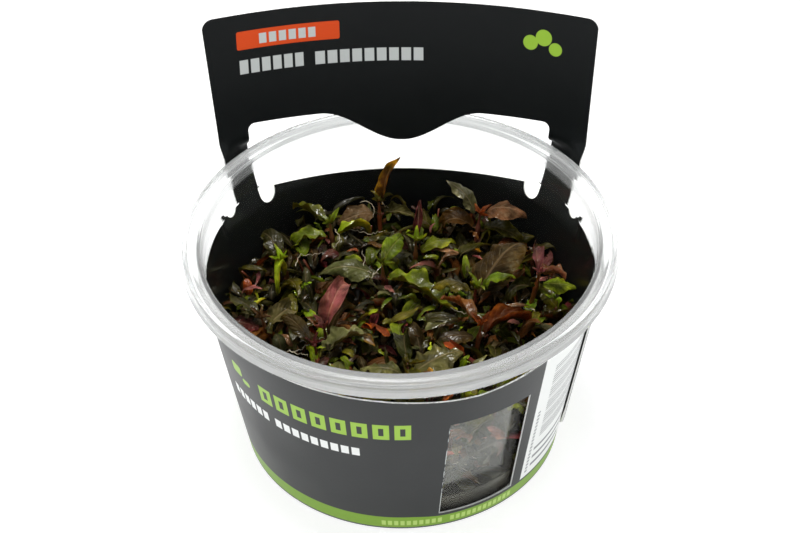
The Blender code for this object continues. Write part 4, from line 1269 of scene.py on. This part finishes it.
def make_stage():
    """A white floor that runs past the frame, white surroundings and two soft lights."""
    points = [(-2000, -2000, 0), (2000, -2000, 0), (2000, 2000, 0), (-2000, 2000, 0)]
    white = Finish("floor_white", Roughness=0.9)
    white.set("Base Color", white.mix(white.noise(white.place(), 3.0), (0.38, 0.38, 0.38), (0.36, 0.36, 0.36)))
    white.set("Emission Color", (1.0, 1.0, 1.0))
    split = white.tree.nodes.new("ShaderNodeSeparateXYZ")
    white.feed(split.inputs[0], white.place())
    squares = [white.math("MULTIPLY", split.outputs[k], split.outputs[k]) for k in (0, 1)]
    reach = white.math("SQRT", white.math("ADD", *squares))
    white.set("Emission Strength", white.ramp(reach, 0.036, 0.038, 0.2, 0.8))
    floor = make_piece("floor", points, [(0, 1, 2, 3)], [white.material])
    world = bpy.data.worlds.new("surroundings")
    world.use_nodes = True
    tree = world.node_tree
    split = tree.nodes.new("ShaderNodeSeparateXYZ")
    tree.links.new(tree.nodes.new("ShaderNodeTexCoord").outputs["Generated"], split.inputs[0])
    fade = tree.nodes.new("ShaderNodeMapRange")
    fade.interpolation_type = "SMOOTHSTEP"
    for key, value in {"From Min": 0.2, "From Max": 0.6, "To Min": 1.0, "To Max": 0.2}.items():
        fade.inputs[key].default_value = value
    tree.links.new(split.outputs[2], fade.inputs["Value"])
    tree.links.new(fade.outputs[0], tree.nodes["Background"].inputs["Strength"])
    tree.nodes["Background"].inputs["Color"].default_value = (0.97, 0.99, 1.0, 1.0)
    bpy.context.scene.world = world
    for name, place, size, power in (
        ("overhead", (-0.05, 0.02, 0.9), 0.3, 8.0),
        ("ceiling", (0.0, 0.0, 1.5), 2.4, 11.8),
    ):
        light = bpy.data.lights.new(name, "AREA")
        light.size = size
        light.energy = power
        lamp = bpy.data.objects.new(name, light)
        lamp.location = place
        aim = Vector((0.0, 0.0, 0.04)) - Vector(place)
        lamp.rotation_euler = aim.to_track_quat("-Z", "Y").to_euler()
        bpy.context.scene.collection.objects.link(lamp)


def make_camera():
    """A camera that looks down at the cup from the front, turned and rolled as the photograph's was."""
    turn, tilt, roll = (math.radians(a) for a in (CAMERA_TURN, CAMERA_ELEVATION, CAMERA_ROLL))
    right = Vector((math.cos(turn), math.sin(turn), 0.0))
    back = Vector((math.sin(turn) * math.cos(tilt), -math.cos(turn) * math.cos(tilt), math.sin(tilt)))
    up = back.cross(right)
    right, up = right * math.cos(roll) - up * math.sin(roll), right * math.sin(roll) + up * math.cos(roll)
    place = back * CAMERA_DISTANCE * MM + Vector((0.0, 0.0, CAMERA_AIM_Z * MM))
    lens = bpy.data.cameras.new("camera")
    lens.sensor_width = 36.0
    lens.lens = FOCAL_PIXELS / FRAME_WIDTH * lens.sensor_width
    lens.clip_start = 0.01
    camera = bpy.data.objects.new("camera", lens)
    camera.matrix_world = Matrix.Translation(place) @ Matrix((right, up, back)).transposed().to_4x4()
    bpy.context.scene.collection.objects.link(camera)
    bpy.context.scene.camera = camera
    bpy.context.scene.view_settings.view_transform = "Standard"


make_camera()
make_stage()
make_cup()
make_gel()
make_sleeve()
leaf_skin = leaf_blade("leaf_skin", 1.0, 0.22)
dull_skin = leaf_blade("dull_leaf_skin", 0.2, 0.12)
stem_finish = stem_skin()
make_stems(stem_finish)
make_leaves(leaf_skin, dull_skin)
make_undergrowth(leaf_blade("small_leaf_skin", 1.0, 0.18), stem_finish)
